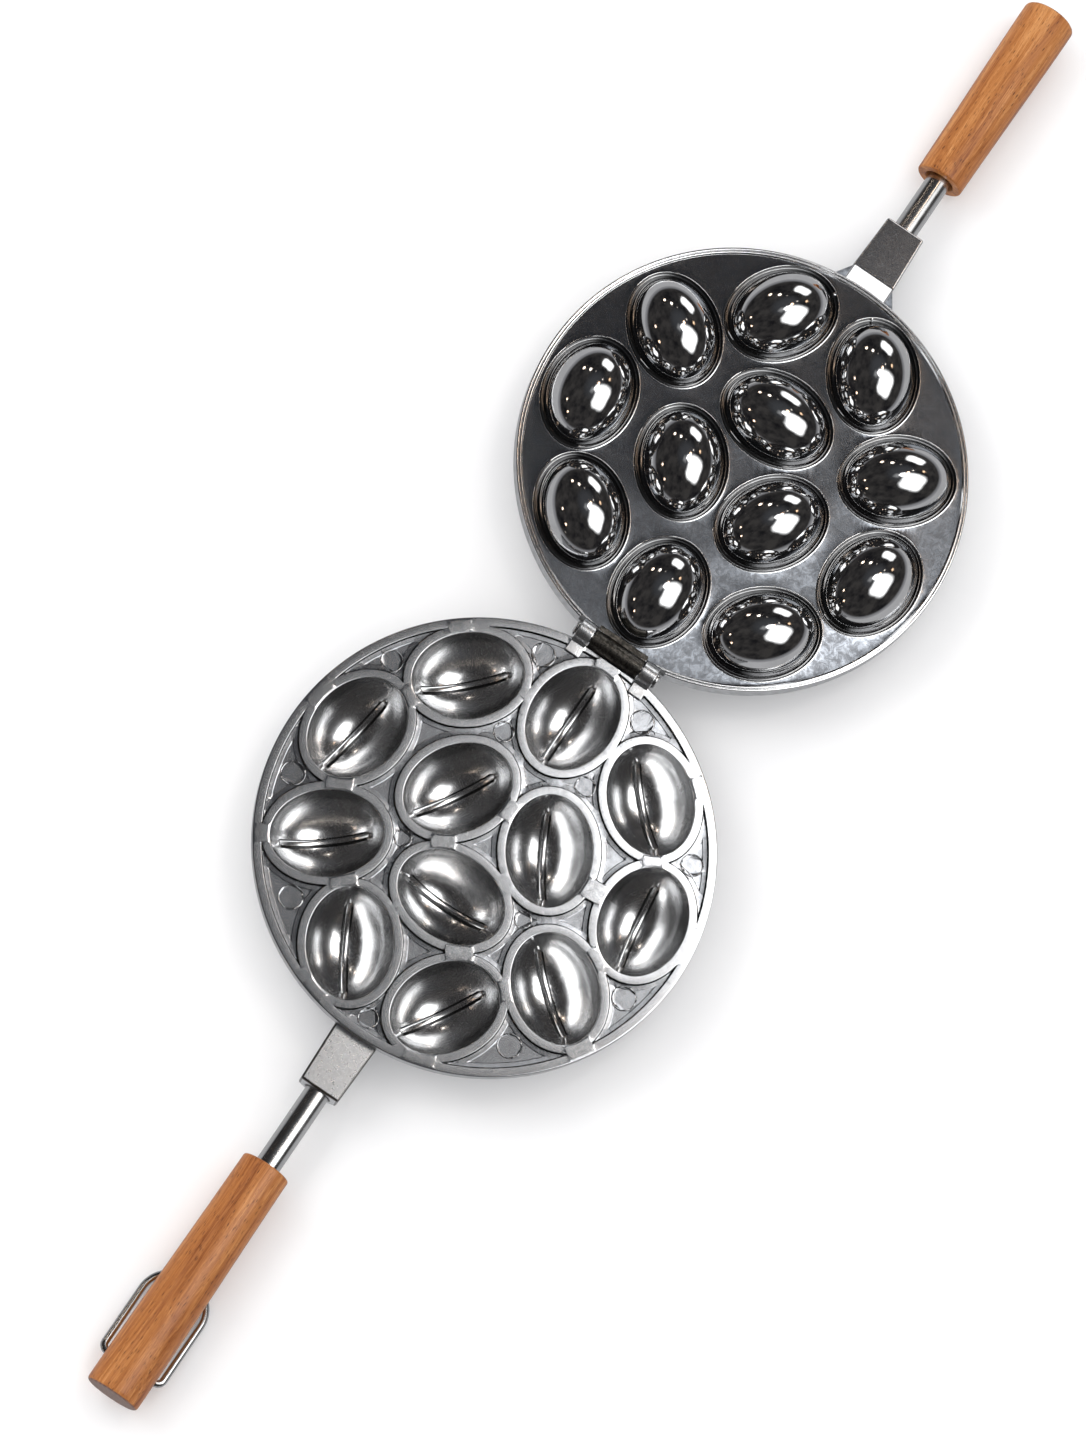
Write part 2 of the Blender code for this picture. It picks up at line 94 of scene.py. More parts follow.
# ------------------------------------------------------------- mesh building
class Skin:
    """Points in millimetres, and faces with a material number each."""

    def __init__(self):
        self.blocks, self.tags, self.faces, self.mats, self.count = [], [], [], [], 0

    def add(self, pts, tag=None):
        pts = np.asarray(pts, float).reshape(-1, 3)
        start = self.count
        self.blocks.append(pts)
        self.tags.append(np.full((len(pts), 2), 2.0) if tag is None else np.asarray(tag, float))
        self.count += len(pts)
        return list(range(start, self.count))

    def strip(self, a, b, mat):
        n = len(a)
        for i in range(n):
            j = (i + 1) % n
            self.faces.append((a[i], a[j], b[j], b[i]))
            self.mats.append(mat)

    def fan(self, ring, mat, centre=None):
        if centre is None:
            self.faces.append(tuple(ring))
            self.mats.append(mat)
            return
        n = len(ring)
        for i in range(n):
            self.faces.append((ring[i], ring[(i + 1) % n], centre))
            self.mats.append(mat)

    def triangles(self, ids, tris, mats):
        for tri, m in zip(tris, mats):
            self.faces.append(tuple(ids[k] for k in tri))
            self.mats.append(int(m))

    def build(self, name, materials, origin=(0.0, 0.0, 0.0), sharp=42.0):
        pts = (np.concatenate(self.blocks) + np.array(origin)) * MM
        mesh = bpy.data.meshes.new(name)
        mesh.from_pydata(pts.tolist(), [], self.faces)
        mesh.polygons.foreach_set("material_index", np.array(self.mats, np.int32))
        tags = np.concatenate(self.tags)
        for k, key in enumerate(("ring", "turn")):
            att = mesh.attributes.new(key, 'FLOAT', 'POINT')
            att.data.foreach_set("value", tags[:, k].astype(np.float32))
        bm = bmesh.new()
        bm.from_mesh(mesh)
        bmesh.ops.remove_doubles(bm, verts=bm.verts, dist=0.000002)
        bmesh.ops.recalc_face_normals(bm, faces=bm.faces)
        bm.to_mesh(mesh)
        bm.free()
        for m in materials:
            mesh.materials.append(m)
        mesh.shade_smooth()
        mesh.set_sharp_from_angle(angle=math.radians(sharp))
        obj = bpy.data.objects.new(name, mesh)
        bpy.context.scene.collection.objects.link(obj)
        return obj


def circle(r, z, n, cx=0.0, cy=0.0):
    t = 2 * np.pi * np.arange(n) / n
    return np.stack([cx + r * np.cos(t), cy + r * np.sin(t), np.full(n, z)], 1)


def oval(nut, a, b, n):
    cx, cy, phi = nut
    t = 2 * np.pi * np.arange(n) / n
    u, v = a * np.cos(t), b * np.sin(t)
    return np.stack([cx + u * math.cos(phi) - v * math.sin(phi),
                     cy + u * math.sin(phi) + v * math.cos(phi)], 1)


def nut_places(mirror):
    out = []
    for r, t, p in NUTS:
        t, p = math.radians(t), math.radians(p)
        x, y = r * math.cos(t), r * math.sin(t)
        out.append((-x, y, math.pi - p) if mirror else (x, y, p))
    return out


def oval_distance(x, y, nut, a, b):
    """Signed distance from an ellipse, to first order; positive outside."""
    cx, cy, phi = nut
    c, s = math.cos(phi), math.sin(phi)
    u = (x - cx) * c + (y - cy) * s
    v = (y - cy) * c - (x - cx) * s
    k = np.sqrt((u / a) ** 2 + (v / b) ** 2)
    return (k - 1.0) * k / np.sqrt((u / a ** 2) ** 2 + (v / b ** 2) ** 2 + 1e-12)


def smooth_step(x):
    x = np.clip(x, 0.0, 1.0)
    return x * x * (3.0 - 2.0 * x)


# ------------------------------------------------- level lines of a function
def level_lines(values, grid, level):
    """Marching squares on a square grid; a list of point arrays."""
    g = values - level
    g = np.where(np.abs(g) < 1e-7, 1e-7, g)
    up = g > 0
    nx = g.shape[1]
    hcross = up[:, :-1] != up[:, 1:]
    vcross = up[:-1, :] != up[1:, :]
    v0 = nx * g.shape[0]
    total = (hcross[:-1].astype(int) + hcross[1:] + vcross[:, :-1] + vcross[:, 1:])
    link = {}

    def join(p, q):
        link.setdefault(p, []).append(q)
        link.setdefault(q, []).append(p)

    for j, i in zip(*np.nonzero(total)):
        low, high = j * nx + i, (j + 1) * nx + i
        left, right = v0 + j * nx + i, v0 + j * nx + i + 1
        edges = []
        if hcross[j, i]:
            edges.append(low)
        if vcross[j, i + 1]:
            edges.append(right)
        if hcross[j + 1, i]:
            edges.append(high)
        if vcross[j, i]:
            edges.append(left)
        if len(edges) == 2:
            join(*edges)
        elif len(edges) == 4:
            middle = g[j:j + 2, i:i + 2].mean() > 0
            if middle == up[j, i]:
                join(low, right)
                join(high, left)
            else:
                join(low, left)
                join(high, right)

    def place(e):
        if e < v0:
            j, i = divmod(e, nx)
            t = g[j, i] / (g[j, i] - g[j, i + 1])
            return grid[i] + t * (grid[i + 1] - grid[i]), grid[j]
        j, i = divmod(e - v0, nx)
        t = g[j, i] / (g[j, i] - g[j + 1, i])
        return grid[i], grid[j] + t * (grid[j + 1] - grid[j])

    lines, seen = [], set()
    starts = [e for e in link if len(link[e]) == 1] + list(link)
    for e in starts:
        if e in seen:
            continue
        chain, last = [e], None
        seen.add(e)
        while True:
            step = [q for q in link[chain[-1]] if q != last and q not in seen]
            if not step:
                break
            last = chain[-1]
            chain.append(step[0])
            seen.add(step[0])
        closed = len(chain) > 2 and chain[0] in link[chain[-1]]
        lines.append((np.array([place(q) for q in chain]), closed))
    return lines


def thin(line, closed, tol, longest):
    """Fewer points on a line, no further than tol from it."""
    n = len(line)
    if n < 4:
        return line
    keep = np.zeros(n, bool)
    marks = [0, n - 1] if not closed else [0, n // 3, 2 * n // 3, n - 1]
    for m in marks:
        keep[m] = True
    stack = list(zip(marks, marks[1:]))
    while stack:
        a, b = stack.pop()
        if b - a < 2:
            continue
        p, q = line[a], line[b]
        d = q - p
        size = math.hypot(*d)
        rel = line[a + 1:b] - p
        if size < 1e-9:
            off = np.hypot(rel[:, 0], rel[:, 1])
        else:
            off = np.abs(rel[:, 0] * d[1] - rel[:, 1] * d[0]) / size
        k = int(np.argmax(off))
        if off[k] > tol:
            m = a + 1 + k
        elif size > longest:
            m = (a + b) // 2
        else:
            continue
        keep[m] = True
        stack += [(a, m), (m, b)]
    return line[keep]


def triangulate(loops, lines, points):
    """Constrained triangles: loops and lines are kept as edges.

    Every loop's own interior is left out, apart from the first, which is the
    outline.  Returns the points, the triangles and which loop a point is on.
    """
    pts, edges, owner = [], [], []
    for k, loop in enumerate(loops):
        start = len(pts)
        pts += [Vector((p[0], p[1])) for p in loop]
        owner += [k] * len(loop)
        n = len(loop)
        edges += [(start + i, start + (i + 1) % n) for i in range(n)]
    for line, closed in lines:
        start = len(pts)
        pts += [Vector((p[0], p[1])) for p in line]
        owner += [-1] * len(line)
        n = len(line)
        edges += [(start + i, start + i + 1) for i in range(n - 1)]
        if closed:
            edges.append((start + n - 1, start))
    pts += [Vector((p[0], p[1])) for p in points]
    owner += [-1] * len(points)
    out, _, tris, orig, _, _ = delaunay_2d_cdt(pts, edges, [], 0, 1e-6, True)
    tag = np.full(len(out), -1)
    for i, src in enumerate(orig):
        for s in src:
            if owner[s] >= 0:
                tag[i] = owner[s]
    xy = np.array([(p[0], p[1]) for p in out])
    keep = []
    for tri in tris:
        t = tag[list(tri)]
        if t[0] > 0 and t[0] == t[1] == t[2]:
            continue
        a, b, c = xy[list(tri)]
        if abs((b[0] - a[0]) * (c[1] - a[1]) - (b[1] - a[1]) * (c[0] - a[0])) < 1e-9:
            continue
        keep.append(tri)
    return xy, keep, tag


# --------------------------------------------------------------- node helper
class Graph:
    """Short ways to write a node tree."""

    def __init__(self, tree):
        self.tree = tree

    def node(self, kind, inputs=None, **props):
        n = self.tree.nodes.new(kind)
        for key, value in props.items():
            setattr(n, key, value)
        for key, value in (inputs or {}).items():
            self.put(n.inputs[key], value)
        return n

    def put(self, socket, value):
        if isinstance(value, bpy.types.NodeSocket):
            self.tree.links.new(value, socket)
        else:
            socket.default_value = value

    def math(self, op, a, b=0.0, c=0.0, clamp=False):
        return self.node('ShaderNodeMath', {0: a, 1: b, 2: c}, operation=op, use_clamp=clamp).outputs[0]

    def vmath(self, op, a, b=(0.0, 0.0, 0.0)):
        n = self.node('ShaderNodeVectorMath', {0: a, 1: b}, operation=op)
        return n.outputs["Value"] if op in ('DOT_PRODUCT', 'LENGTH', 'DISTANCE') else n.outputs[0]

    def place(self, scale=(1.0, 1.0, 1.0), turn=(0.0, 0.0, 0.0), shift=(0.0, 0.0, 0.0)):
        """The object's own coordinates in millimetres, turned, then scaled."""
        c = self.node('ShaderNodeTexCoord').outputs['Object']
        c = self.vmath('MULTIPLY', c, (1000.0, 1000.0, 1000.0))
        if any(turn) or any(shift):
            c = self.node('ShaderNodeMapping', {'Vector': c, 'Location': shift, 'Rotation': turn}).outputs[0]
        return self.vmath('MULTIPLY', c, scale)

    def noise(self, vector, scale=1.0, detail=3.0, rough=0.55, distort=0.0):
        return self.node('ShaderNodeTexNoise', {'Vector': vector, 'Scale': scale, 'Detail': detail,
                                                'Roughness': rough, 'Distortion': distort}).outputs[0]

    def cells(self, vector, scale=1.0, feature='F1', out='Distance', random=1.0):
        return self.node('ShaderNodeTexVoronoi', {'Vector': vector, 'Scale': scale, 'Randomness': random},
                         feature=feature).outputs[out]

    def range(self, value, a, b, lo=0.0, hi=1.0, smooth=False):
        return self.node('ShaderNodeMapRange', {0: value, 1: a, 2: b, 3: lo, 4: hi},
                         interpolation_type='SMOOTHSTEP' if smooth else 'LINEAR').outputs[0]

    def blend(self, fac, a, b, kind='MIX'):
        n = self.node('ShaderNodeMix', {0: fac, 6: a, 7: b}, data_type='RGBA', blend_type=kind)
        return n.outputs[2]

    def ramp(self, value, stops):
        n = self.node('ShaderNodeValToRGB', {0: value})
        e = n.color_ramp.elements
        while len(e) < len(stops):
            e.new(0.5)
        for el, (pos, col) in zip(e, stops):
            el.position = pos
            el.color = tuple(col) + (1.0,) if len(col) == 3 else col
        return n.outputs[0]

    def bump(self, height, strength, distance, normal=None):
        ins = {'Height': height, 'Strength': strength, 'Distance': distance}
        if normal is not None:
            ins['Normal'] = normal
        return self.node('ShaderNodeBump', ins).outputs[0]

    def attribute(self, name):
        return self.node('ShaderNodeAttribute', attribute_name=name).outputs['Fac']


def new_material(name, metallic=1.0, **fixed):
    mat = bpy.data.materials.new(name)
    mat.use_nodes = True
    bsdf = mat.node_tree.nodes["Principled BSDF"]
    bsdf.inputs["Metallic"].default_value = metallic
    for key, value in fixed.items():
        bsdf.inputs[key.replace("_", " ")].default_value = value
    return mat, Graph(mat.node_tree), bsdf


def grey(v, tint=0.0):
    return (v * (1.0 - tint), v * (1.0 - 0.3 * tint), v * (1.0 + 0.8 * tint), 1.0)


# ----------------------------------------------------------------- materials
def scratches(g, angle, length=0.10, fine=5.0, shift=0.0):
    v = g.place((length, fine, 1.0), turn=(0.0, 0.0, angle), shift=(shift, shift * 0.7, 0.0))
    return g.noise(v, 1.0, 2.0, 0.6, 0.1)


def metal(name, dark, light, tint, rough, mottle, scratch, pits, cell=0.0, tool=False, coat=0.0):
    """Cast or machined aluminium.

    mottle: size of the cloudy patches in mm; scratch and pits: how strong.
    """
    mat, g, bsdf = new_material(name)
    if coat:
        for key, value in (("Coat Weight", coat), ("Coat Roughness", 0.07), ("Coat IOR", 2.6)):
            bsdf.inputs[key].default_value = value
    p = g.place()
    cloud = g.noise(p, 1.0 / mottle, 5.0, 0.62, 0.4)
    speck = g.noise(p, 2.6, 3.0, 0.6)
    hair1 = scratches(g, 0.5)
    hair2 = scratches(g, -0.9, 0.13, 6.5, 31.0)
    hair3 = scratches(g, 1.9, 0.2, 4.2, 63.0)
    hair = g.math('MAXIMUM', g.math('MAXIMUM', hair1, hair2), hair3)
    hair = g.range(hair, 0.62, 0.74)
    mix = g.math('ADD', g.math('MULTIPLY', cloud, 0.75), g.math('MULTIPLY', speck, 0.25))
    if cell:
        grain = g.range(g.noise(p, cell, 5.0, 0.74, 1.1), 0.40, 0.62, smooth=True)
        mix = g.math('ADD', g.math('MULTIPLY', mix, 0.66), g.math('MULTIPLY', grain, 0.34))
    base = g.ramp(mix, [(0.30, grey(dark, tint)), (0.50, grey((dark + light) / 2, tint)), (0.70, grey(light, tint))])
    base = g.blend(g.math('MULTIPLY', hair, 0.35), base, grey(min(0.95, light * 1.15), tint * 0.5))
    g.put(bsdf.inputs['Base Color'], base)
    r = g.math('ADD', g.range(mix, 0.3, 0.7, rough * 1.2, rough * 0.82),
               g.math('MULTIPLY', hair, 0.05))
    g.put(bsdf.inputs['Roughness'], r)
    pit = g.cells(p, 0.55)
    pit = g.range(pit, 0.02, 0.30, -1.0, 0.0)
    height = g.math('ADD', g.math('MULTIPLY', cloud, 0.5), g.math('MULTIPLY', speck, 0.22))
    height = g.math('ADD', height, g.math('MULTIPLY', pit, 0.35 * pits))
    height = g.math('SUBTRACT', height, g.math('MULTIPLY', hair, 0.20 * scratch))
    normal = g.bump(height, 0.22, 0.00006)
    if tool:
        ring = g.attribute("ring")
        wave = g.math('SINE', g.math('MULTIPLY', ring, 360.0))
        wob = g.noise(p, 0.12, 2.0)
        amount = g.math('MULTIPLY', g.range(ring, 0.60, 0.98), g.range(wob, 0.35, 0.65))
        near = g.math('LESS_THAN', ring, 1.2)
        height2 = g.math('MULTIPLY', g.math('MULTIPLY', wave, amount), near)
        normal = g.bump(height2, 0.18, 0.00006, normal)
    g.put(bsdf.inputs['Normal'], normal)
    if coat:
        g.put(bsdf.inputs['Coat Normal'], normal)
    return mat


def chrome(name, dark, light, rough, along):
    """Plated rod or wire with faint drawing marks along or round it."""
    mat, g, bsdf = new_material(name)
    p = g.place()
    lines = g.noise(g.place((0.03, 2.2, 2.2) if along else (3.2, 0.12, 0.12)), 1.0, 4.0, 0.6)
    cloud = g.noise(p, 0.09, 4.0, 0.6)
    base = g.ramp(g.math('ADD', g.math('MULTIPLY', lines, 0.5), g.math('MULTIPLY', cloud, 0.5)),
                  [(0.32, grey(dark)), (0.68, grey(light))])
    g.put(bsdf.inputs['Base Color'], base)
    g.put(bsdf.inputs['Roughness'], g.range(cloud, 0.3, 0.7, rough * 0.7, rough * 1.5))
    g.put(bsdf.inputs['Normal'], g.bump(lines, 0.12, 0.00004))
    return mat


def beech(name):
    mat, g, bsdf = new_material(name, 0.0, Coat_Weight=0.16, Coat_Roughness=0.24, IOR=1.5, Specular_IOR_Level=0.22)
    warp = g.node('ShaderNodeTexNoise', {'Vector': g.place((0.012, 0.06, 0.06)), 'Scale': 1.0, 'Detail': 3.0}).outputs[1]
    warp = g.vmath('MULTIPLY', g.vmath('SUBTRACT', warp, (0.5, 0.5, 0.5)), (0.0, 9.0, 9.0))
    p = g.vmath('ADD', g.place(), warp)
    bands = g.noise(g.vmath('MULTIPLY', p, (0.008, 0.20, 0.34)), 1.0, 4.0, 0.55, 0.3)
    streak = g.noise(g.vmath('MULTIPLY', p, (0.035, 1.3, 1.3)), 1.0, 4.0, 0.6)
    fibre = g.noise(g.vmath('MULTIPLY', p, (0.12, 4.5, 4.5)), 1.0, 3.0, 0.6)
    tone = g.math('ADD', g.math('MULTIPLY', bands, 0.42),
                  g.math('ADD', g.math('MULTIPLY', streak, 0.40), g.math('MULTIPLY', fibre, 0.18)))
    base = g.ramp(tone, [(0.37, (0.190, 0.050, 0.010)), (0.46, (0.320, 0.108, 0.027)),
                         (0.54, (0.425, 0.162, 0.044)), (0.64, (0.575, 0.262, 0.090))])
    # short dark pores and flecks along the grain
    cell = g.node('ShaderNodeTexVoronoi', {'Vector': g.vmath('MULTIPLY', p, (0.23, 1.25, 1.25)), 'Scale': 1.0}, feature='F1')
    fleck = g.range(cell.outputs['Distance'], 0.10, 0.30, 1.0, 0.0)
    pick = g.node('ShaderNodeSeparateColor', {0: cell.outputs['Color']}).outputs[0]
    fleck = g.math('MULTIPLY', fleck, g.range(pick, 0.12, 0.50))
    fine = g.node('ShaderNodeTexVoronoi', {'Vector': g.vmath('MULTIPLY', p, (0.36, 2.4, 2.4)), 'Scale': 1.0}, feature='F1')
    fleck2 = g.math('MULTIPLY', g.range(fine.outputs['Distance'], 0.1, 0.30, 0.65, 0.0),
                    g.range(streak, 0.36, 0.56))
    dark = g.math('MAXIMUM', fleck, fleck2)
    base = g.blend(g.math('MULTIPLY', dark, 0.85), base, (0.075, 0.022, 0.008, 1.0))
    g.put(bsdf.inputs['Base Color'], base)
    g.put(bsdf.inputs['Roughness'], g.range(streak, 0.3, 0.7, 0.30, 0.48))
    height = g.math('SUBTRACT', g.math('MULTIPLY', fibre, 0.3), dark)
    g.put(bsdf.inputs['Normal'], g.bump(height, 0.35, 0.00010))
    return mat


def end_grain(name):
    mat, g, bsdf = new_material(name, 0.0, Coat_Weight=0.25, Coat_Roughness=0.30, IOR=1.5)
    p = g.place((0.0, 1.0, 1.0), shift=(0.0, 19.0, -26.0))
    wob = g.noise(g.place(), 0.18, 3.0)
    radius = g.math('ADD', g.vmath('LENGTH', p), g.math('MULTIPLY', wob, 5.0))
    ring = g.math('SINE', g.math('MULTIPLY', radius, 2.9))
    pore = g.range(g.cells(g.place((0.0, 1.9, 1.9)), 1.0), 0.05, 0.28, 1.0, 0.0)
    fibre = g.noise(g.place(), 1.7, 4.0, 0.65)
    tone = g.math('ADD', g.range(ring, -1.0, 1.0, 0.25, 0.65), g.range(fibre, 0.3, 0.7, -0.25, 0.25))
    base = g.ramp(tone, [(0.0, (0.085, 0.036, 0.022)), (0.5, (0.165, 0.074, 0.045)), (1.0, (0.260, 0.125, 0.080))])
    base = g.blend(g.math('MULTIPLY', pore, 0.55), base, (0.060, 0.022, 0.012, 1.0))
    g.put(bsdf.inputs['Base Color'], base)
    g.put(bsdf.inputs['Roughness'], g.range(fibre, 0.3, 0.7, 0.42, 0.62))
    g.put(bsdf.inputs['Normal'], g.bump(g.math('SUBTRACT', fibre, pore), 0.4, 0.00012))
    return mat


M_LAND = metal("ground_land", 0.42, 0.64, 0.03, 0.17, 6.0, 0.4, 0.15)
M_POCKET = metal("sunken_field", 0.25, 0.46, 0.05, 0.19, 7.0, 0.3, 0.2)
M_CAVITY = metal("polished_cavity", 0.64, 0.84, 0.01, 0.24, 9.0, 0.25, 0.0, tool=True, coat=0.9)
M_TAB = metal("brushed_tab", 0.37, 0.59, 0.03, 0.18, 3.0, 0.8, 0.2)
M_CAST = metal("cast_skin", 0.44, 0.70, 0.02, 0.40, 2.6, 0.3, 1.0)
M_SOCKET = metal("cast_socket", 0.60, 0.82, 0.02, 0.30, 3.4, 0.3, 1.3, cell=0.5)
M_SOCKET_DARK = metal("dark_socket", 0.15, 0.31, 0.09, 0.22, 2.6, 0.3, 0.5, cell=0.42)
M_DOME = metal("mirror_dome", 0.56, 0.68, 0.01, 0.060, 12.0, 0.12, 0.0)
M_MOAT = metal("polished_moat", 0.16, 0.26, 0.01, 0.08, 6.0, 0.15, 0.0)
M_FIELD = metal("dark_field", 0.11, 0.23, 0.09, 0.16, 5.0, 0.15, 0.15, cell=0.3)
# light metal for the rim bead, the moat lips and the bevelled edges of the dome socket and cheeks: painted highlight
# that draws their bright lines on real raised edges
M_BEAD_HIGHLIGHT = metal("rim_bead_painted_highlight", 0.66, 0.86, 0.01, 0.16, 5.0, 0.8, 0.1)
M_CHROME = chrome("plated_rod", 0.52, 0.70, 0.20, True)
M_PIN = chrome("plated_pin", 0.45, 0.65, 0.22, False)
M_WIRE = chrome("drawn_wire", 0.42, 0.62, 0.20, True)
M_BEECH = beech("varnished_beech_grain")
M_END = end_grain("beech_end_grain")
# near-black metal on the rib's sides and on the pocket walls: painted shade that draws their dark outlines
M_SHADE_FLANK = metal("rib_flank_painted_shade", 0.05, 0.12, 0.01, 0.24, 3.0, 0.3, 0.2)
# dark metal for the rounded edges of the cavity socket: painted shade outlining the socket
M_SHADE_EDGE = metal("dark_edge_painted_shade", 0.12, 0.26, -0.03, 0.30, 3.0, 0.4, 0.3)
# near-black metal for the hinge tongue: painted shade of the recess between the lugs, with a brown tint for its stains
M_KNUCKLE_STAIN_SHADE = metal("stained_knuckle_painted_shade", 0.025, 0.13, -0.10, 0.40, 4.0, 0.5, 0.6, cell=0.8)
M_INSIDE = metal("bore_wall", 0.20, 0.34, 0.0, 0.45, 3.0, 0.5, 0.8)


# ------------------------------------------------------------ solids by mesh
def cut(obj, other, operation):
    """Join or cut two closed meshes, and keep the result as the mesh."""
    mod = obj.modifiers.new("shape", 'BOOLEAN')
    mod.operation = operation
    mod.solver = 'MANIFOLD'
    mod.object = other
    graph = bpy.context.evaluated_depsgraph_get()
    mesh = bpy.data.meshes.new_from_object(obj.evaluated_get(graph))
    obj.modifiers.clear()
    old = obj.data
    obj.data = mesh
    name = old.name
    bpy.data.meshes.remove(old)
    mesh.name = name
    bpy.data.objects.remove(other, do_unlink=True)


def finish_plate(obj, angle=42.0):
    """Smooth shading in which large flat faces stay flat."""
    mesh = obj.data
    mesh.shade_smooth()
    mesh.set_sharp_from_angle(angle=math.radians(angle))
    mod = obj.modifiers.new("normals", 'WEIGHTED_NORMAL')
    mod.mode = 'FACE_AREA'
    mod.weight = 50
    mod.keep_sharp = True
    graph = bpy.context.evaluated_depsgraph_get()
    flat = bpy.data.meshes.new_from_object(obj.evaluated_get(graph))
    obj.modifiers.clear()
    name = mesh.name
    obj.data = flat
    bpy.data.meshes.remove(mesh)
    flat.name = name


def block(name, sections, mats, mat_index, bevel=0.0, segments=3, ends=True, edge=None):
    """A solid through equal sections, with rounded edges."""
    bm = bmesh.new()
    rows = [[bm.verts.new(Vector(p) * MM) for p in ring] for ring in sections]
    n = len(rows[0])
    for low, high in zip(rows, rows[1:]):
        for i in range(n):
            j = (i + 1) % n
            bm.faces.new((low[i], low[j], high[j], high[i]))
    bm.faces.new(list(reversed(rows[0])))
    bm.faces.new(rows[-1])
    bmesh.ops.recalc_face_normals(bm, faces=bm.faces)
    if bevel:
        edges = [e for e in bm.edges if e.calc_face_angle(0.0) > math.radians(18.0)]
        if not ends:
            edges = [e for e in edges if e.link_faces[0].normal.dot(e.link_faces[1].normal) < 0.3]
        for f in bm.faces:
            f.material_index = mat_index
        bmesh.ops.bevel(bm, geom=edges, offset=bevel * MM, segments=segments, profile=0.5,
                        affect='EDGES', clamp_overlap=True, material=mat_index if edge is None else edge)
    mesh = bpy.data.meshes.new(name)
    bm.to_mesh(mesh)
    bm.free()
    for m in mats:
        mesh.materials.append(m)
    if edge is None or not bevel:
        mesh.polygons.foreach_set("material_index", np.full(len(mesh.polygons), mat_index, np.int32))
    for key in ("ring", "turn"):
        att = mesh.attributes.new(key, 'FLOAT', 'POINT')
        att.data.foreach_set("value", np.full(len(mesh.vertices), 2.0, np.float32))
    obj = bpy.data.objects.new(name, mesh)
    bpy.context.scene.collection.objects.link(obj)
    return obj


def turned(profile, n, axis, at, mats=None):
    """Turn (radius, height) points about an axis through at; mats: one a step."""
    skin = Skin()
    t = 2 * np.pi * (np.arange(n) + 0.5) / n
    rows = []
    for r, h in profile:
        if r < 1e-6:
            x, y, z = np.zeros(1), np.zeros(1), np.full(1, h)
        else:
            x, y, z = r * np.cos(t), r * np.sin(t), np.full(n, h)
        pts = {'X': (z, x, y), 'Y': (x, z, y), 'Z': (x, y, z)}[axis]
        rows.append(skin.add(np.stack(pts, 1) + np.array(at)))
    for k, (a, b) in enumerate(zip(rows, rows[1:])):
        m = mats[k] if mats else 0
        if len(a) == 1:
            skin.fan(b, m, a[0])
        elif len(b) == 1:
            skin.fan(a, m, b[0])
        else:
            skin.strip(a, b, m)
    return skin


def rounded(points, radius, steps=4):
    """Round the corners of an open (radius, height) profile."""
    out = [points[0]]
    for a, b, c in zip(points, points[1:], points[2:]):
        r = radius
        if len(b) == 3:
            r = b[2]
        va = np.array(a[:2]) - np.array(b[:2])
        vc = np.array(c[:2]) - np.array(b[:2])
        la, lc = np.linalg.norm(va), np.linalg.norm(vc)
        r = min(r, la * 0.45, lc * 0.45)
        if r <= 0.0:
            out.append(tuple(b[:2]))
            continue
        p, q = np.array(b[:2]) + va / la * r, np.array(b[:2]) + vc / lc * r
        for k in range(steps + 1):
            s = k / steps
            out.append(tuple((1 - s) ** 2 * p + 2 * s * (1 - s) * np.array(b[:2]) + s * s * q))
    out.append(points[-1])
    return [(float(p[0]), float(p[1])) for p in out]


# ------------------------------------------------------------- cavity plate
RIB_L = 16.2
RIB_STEPS = [(1.78, 0.0), (1.58, 0.07), (1.44, 0.30), (1.20, 1.18), (1.10, 1.42), (0.90, 1.58), (0.55, 1.65), (0.0, 1.66)]
# the distances from the rib's middle between which its sides are drawn near-black, as painted shade
RIB_SHADE_FLANK = (0.86, 1.80)


def nut_floor(u, v):
    rho2 = np.clip((u / NUT_A) ** 2 + (v / NUT_B) ** 2, 0.0, 1.0)
    z = TOP - NUT_DEPTH * np.sqrt(1.0 - rho2)
    crease = 0.45 * np.clip(1.0 - np.abs(v) / 6.5, 0.0, 1.0) ** 2 * np.clip(1.0 - (u / 19.5) ** 2, 0.0, 1.0)
    dist = np.hypot(np.maximum(np.abs(u) - RIB_L, 0.0), v)
    xs = [s[0] for s in RIB_STEPS][::-1]
    hs = [s[1] for s in RIB_STEPS][::-1]
    return z + crease + np.interp(dist, xs, hs)


def nut_tag(u, v):
    return np.stack([np.sqrt((u / NUT_A) ** 2 + (v / NUT_B) ** 2), np.arctan2(v / NUT_B, u / NUT_A)], 1)


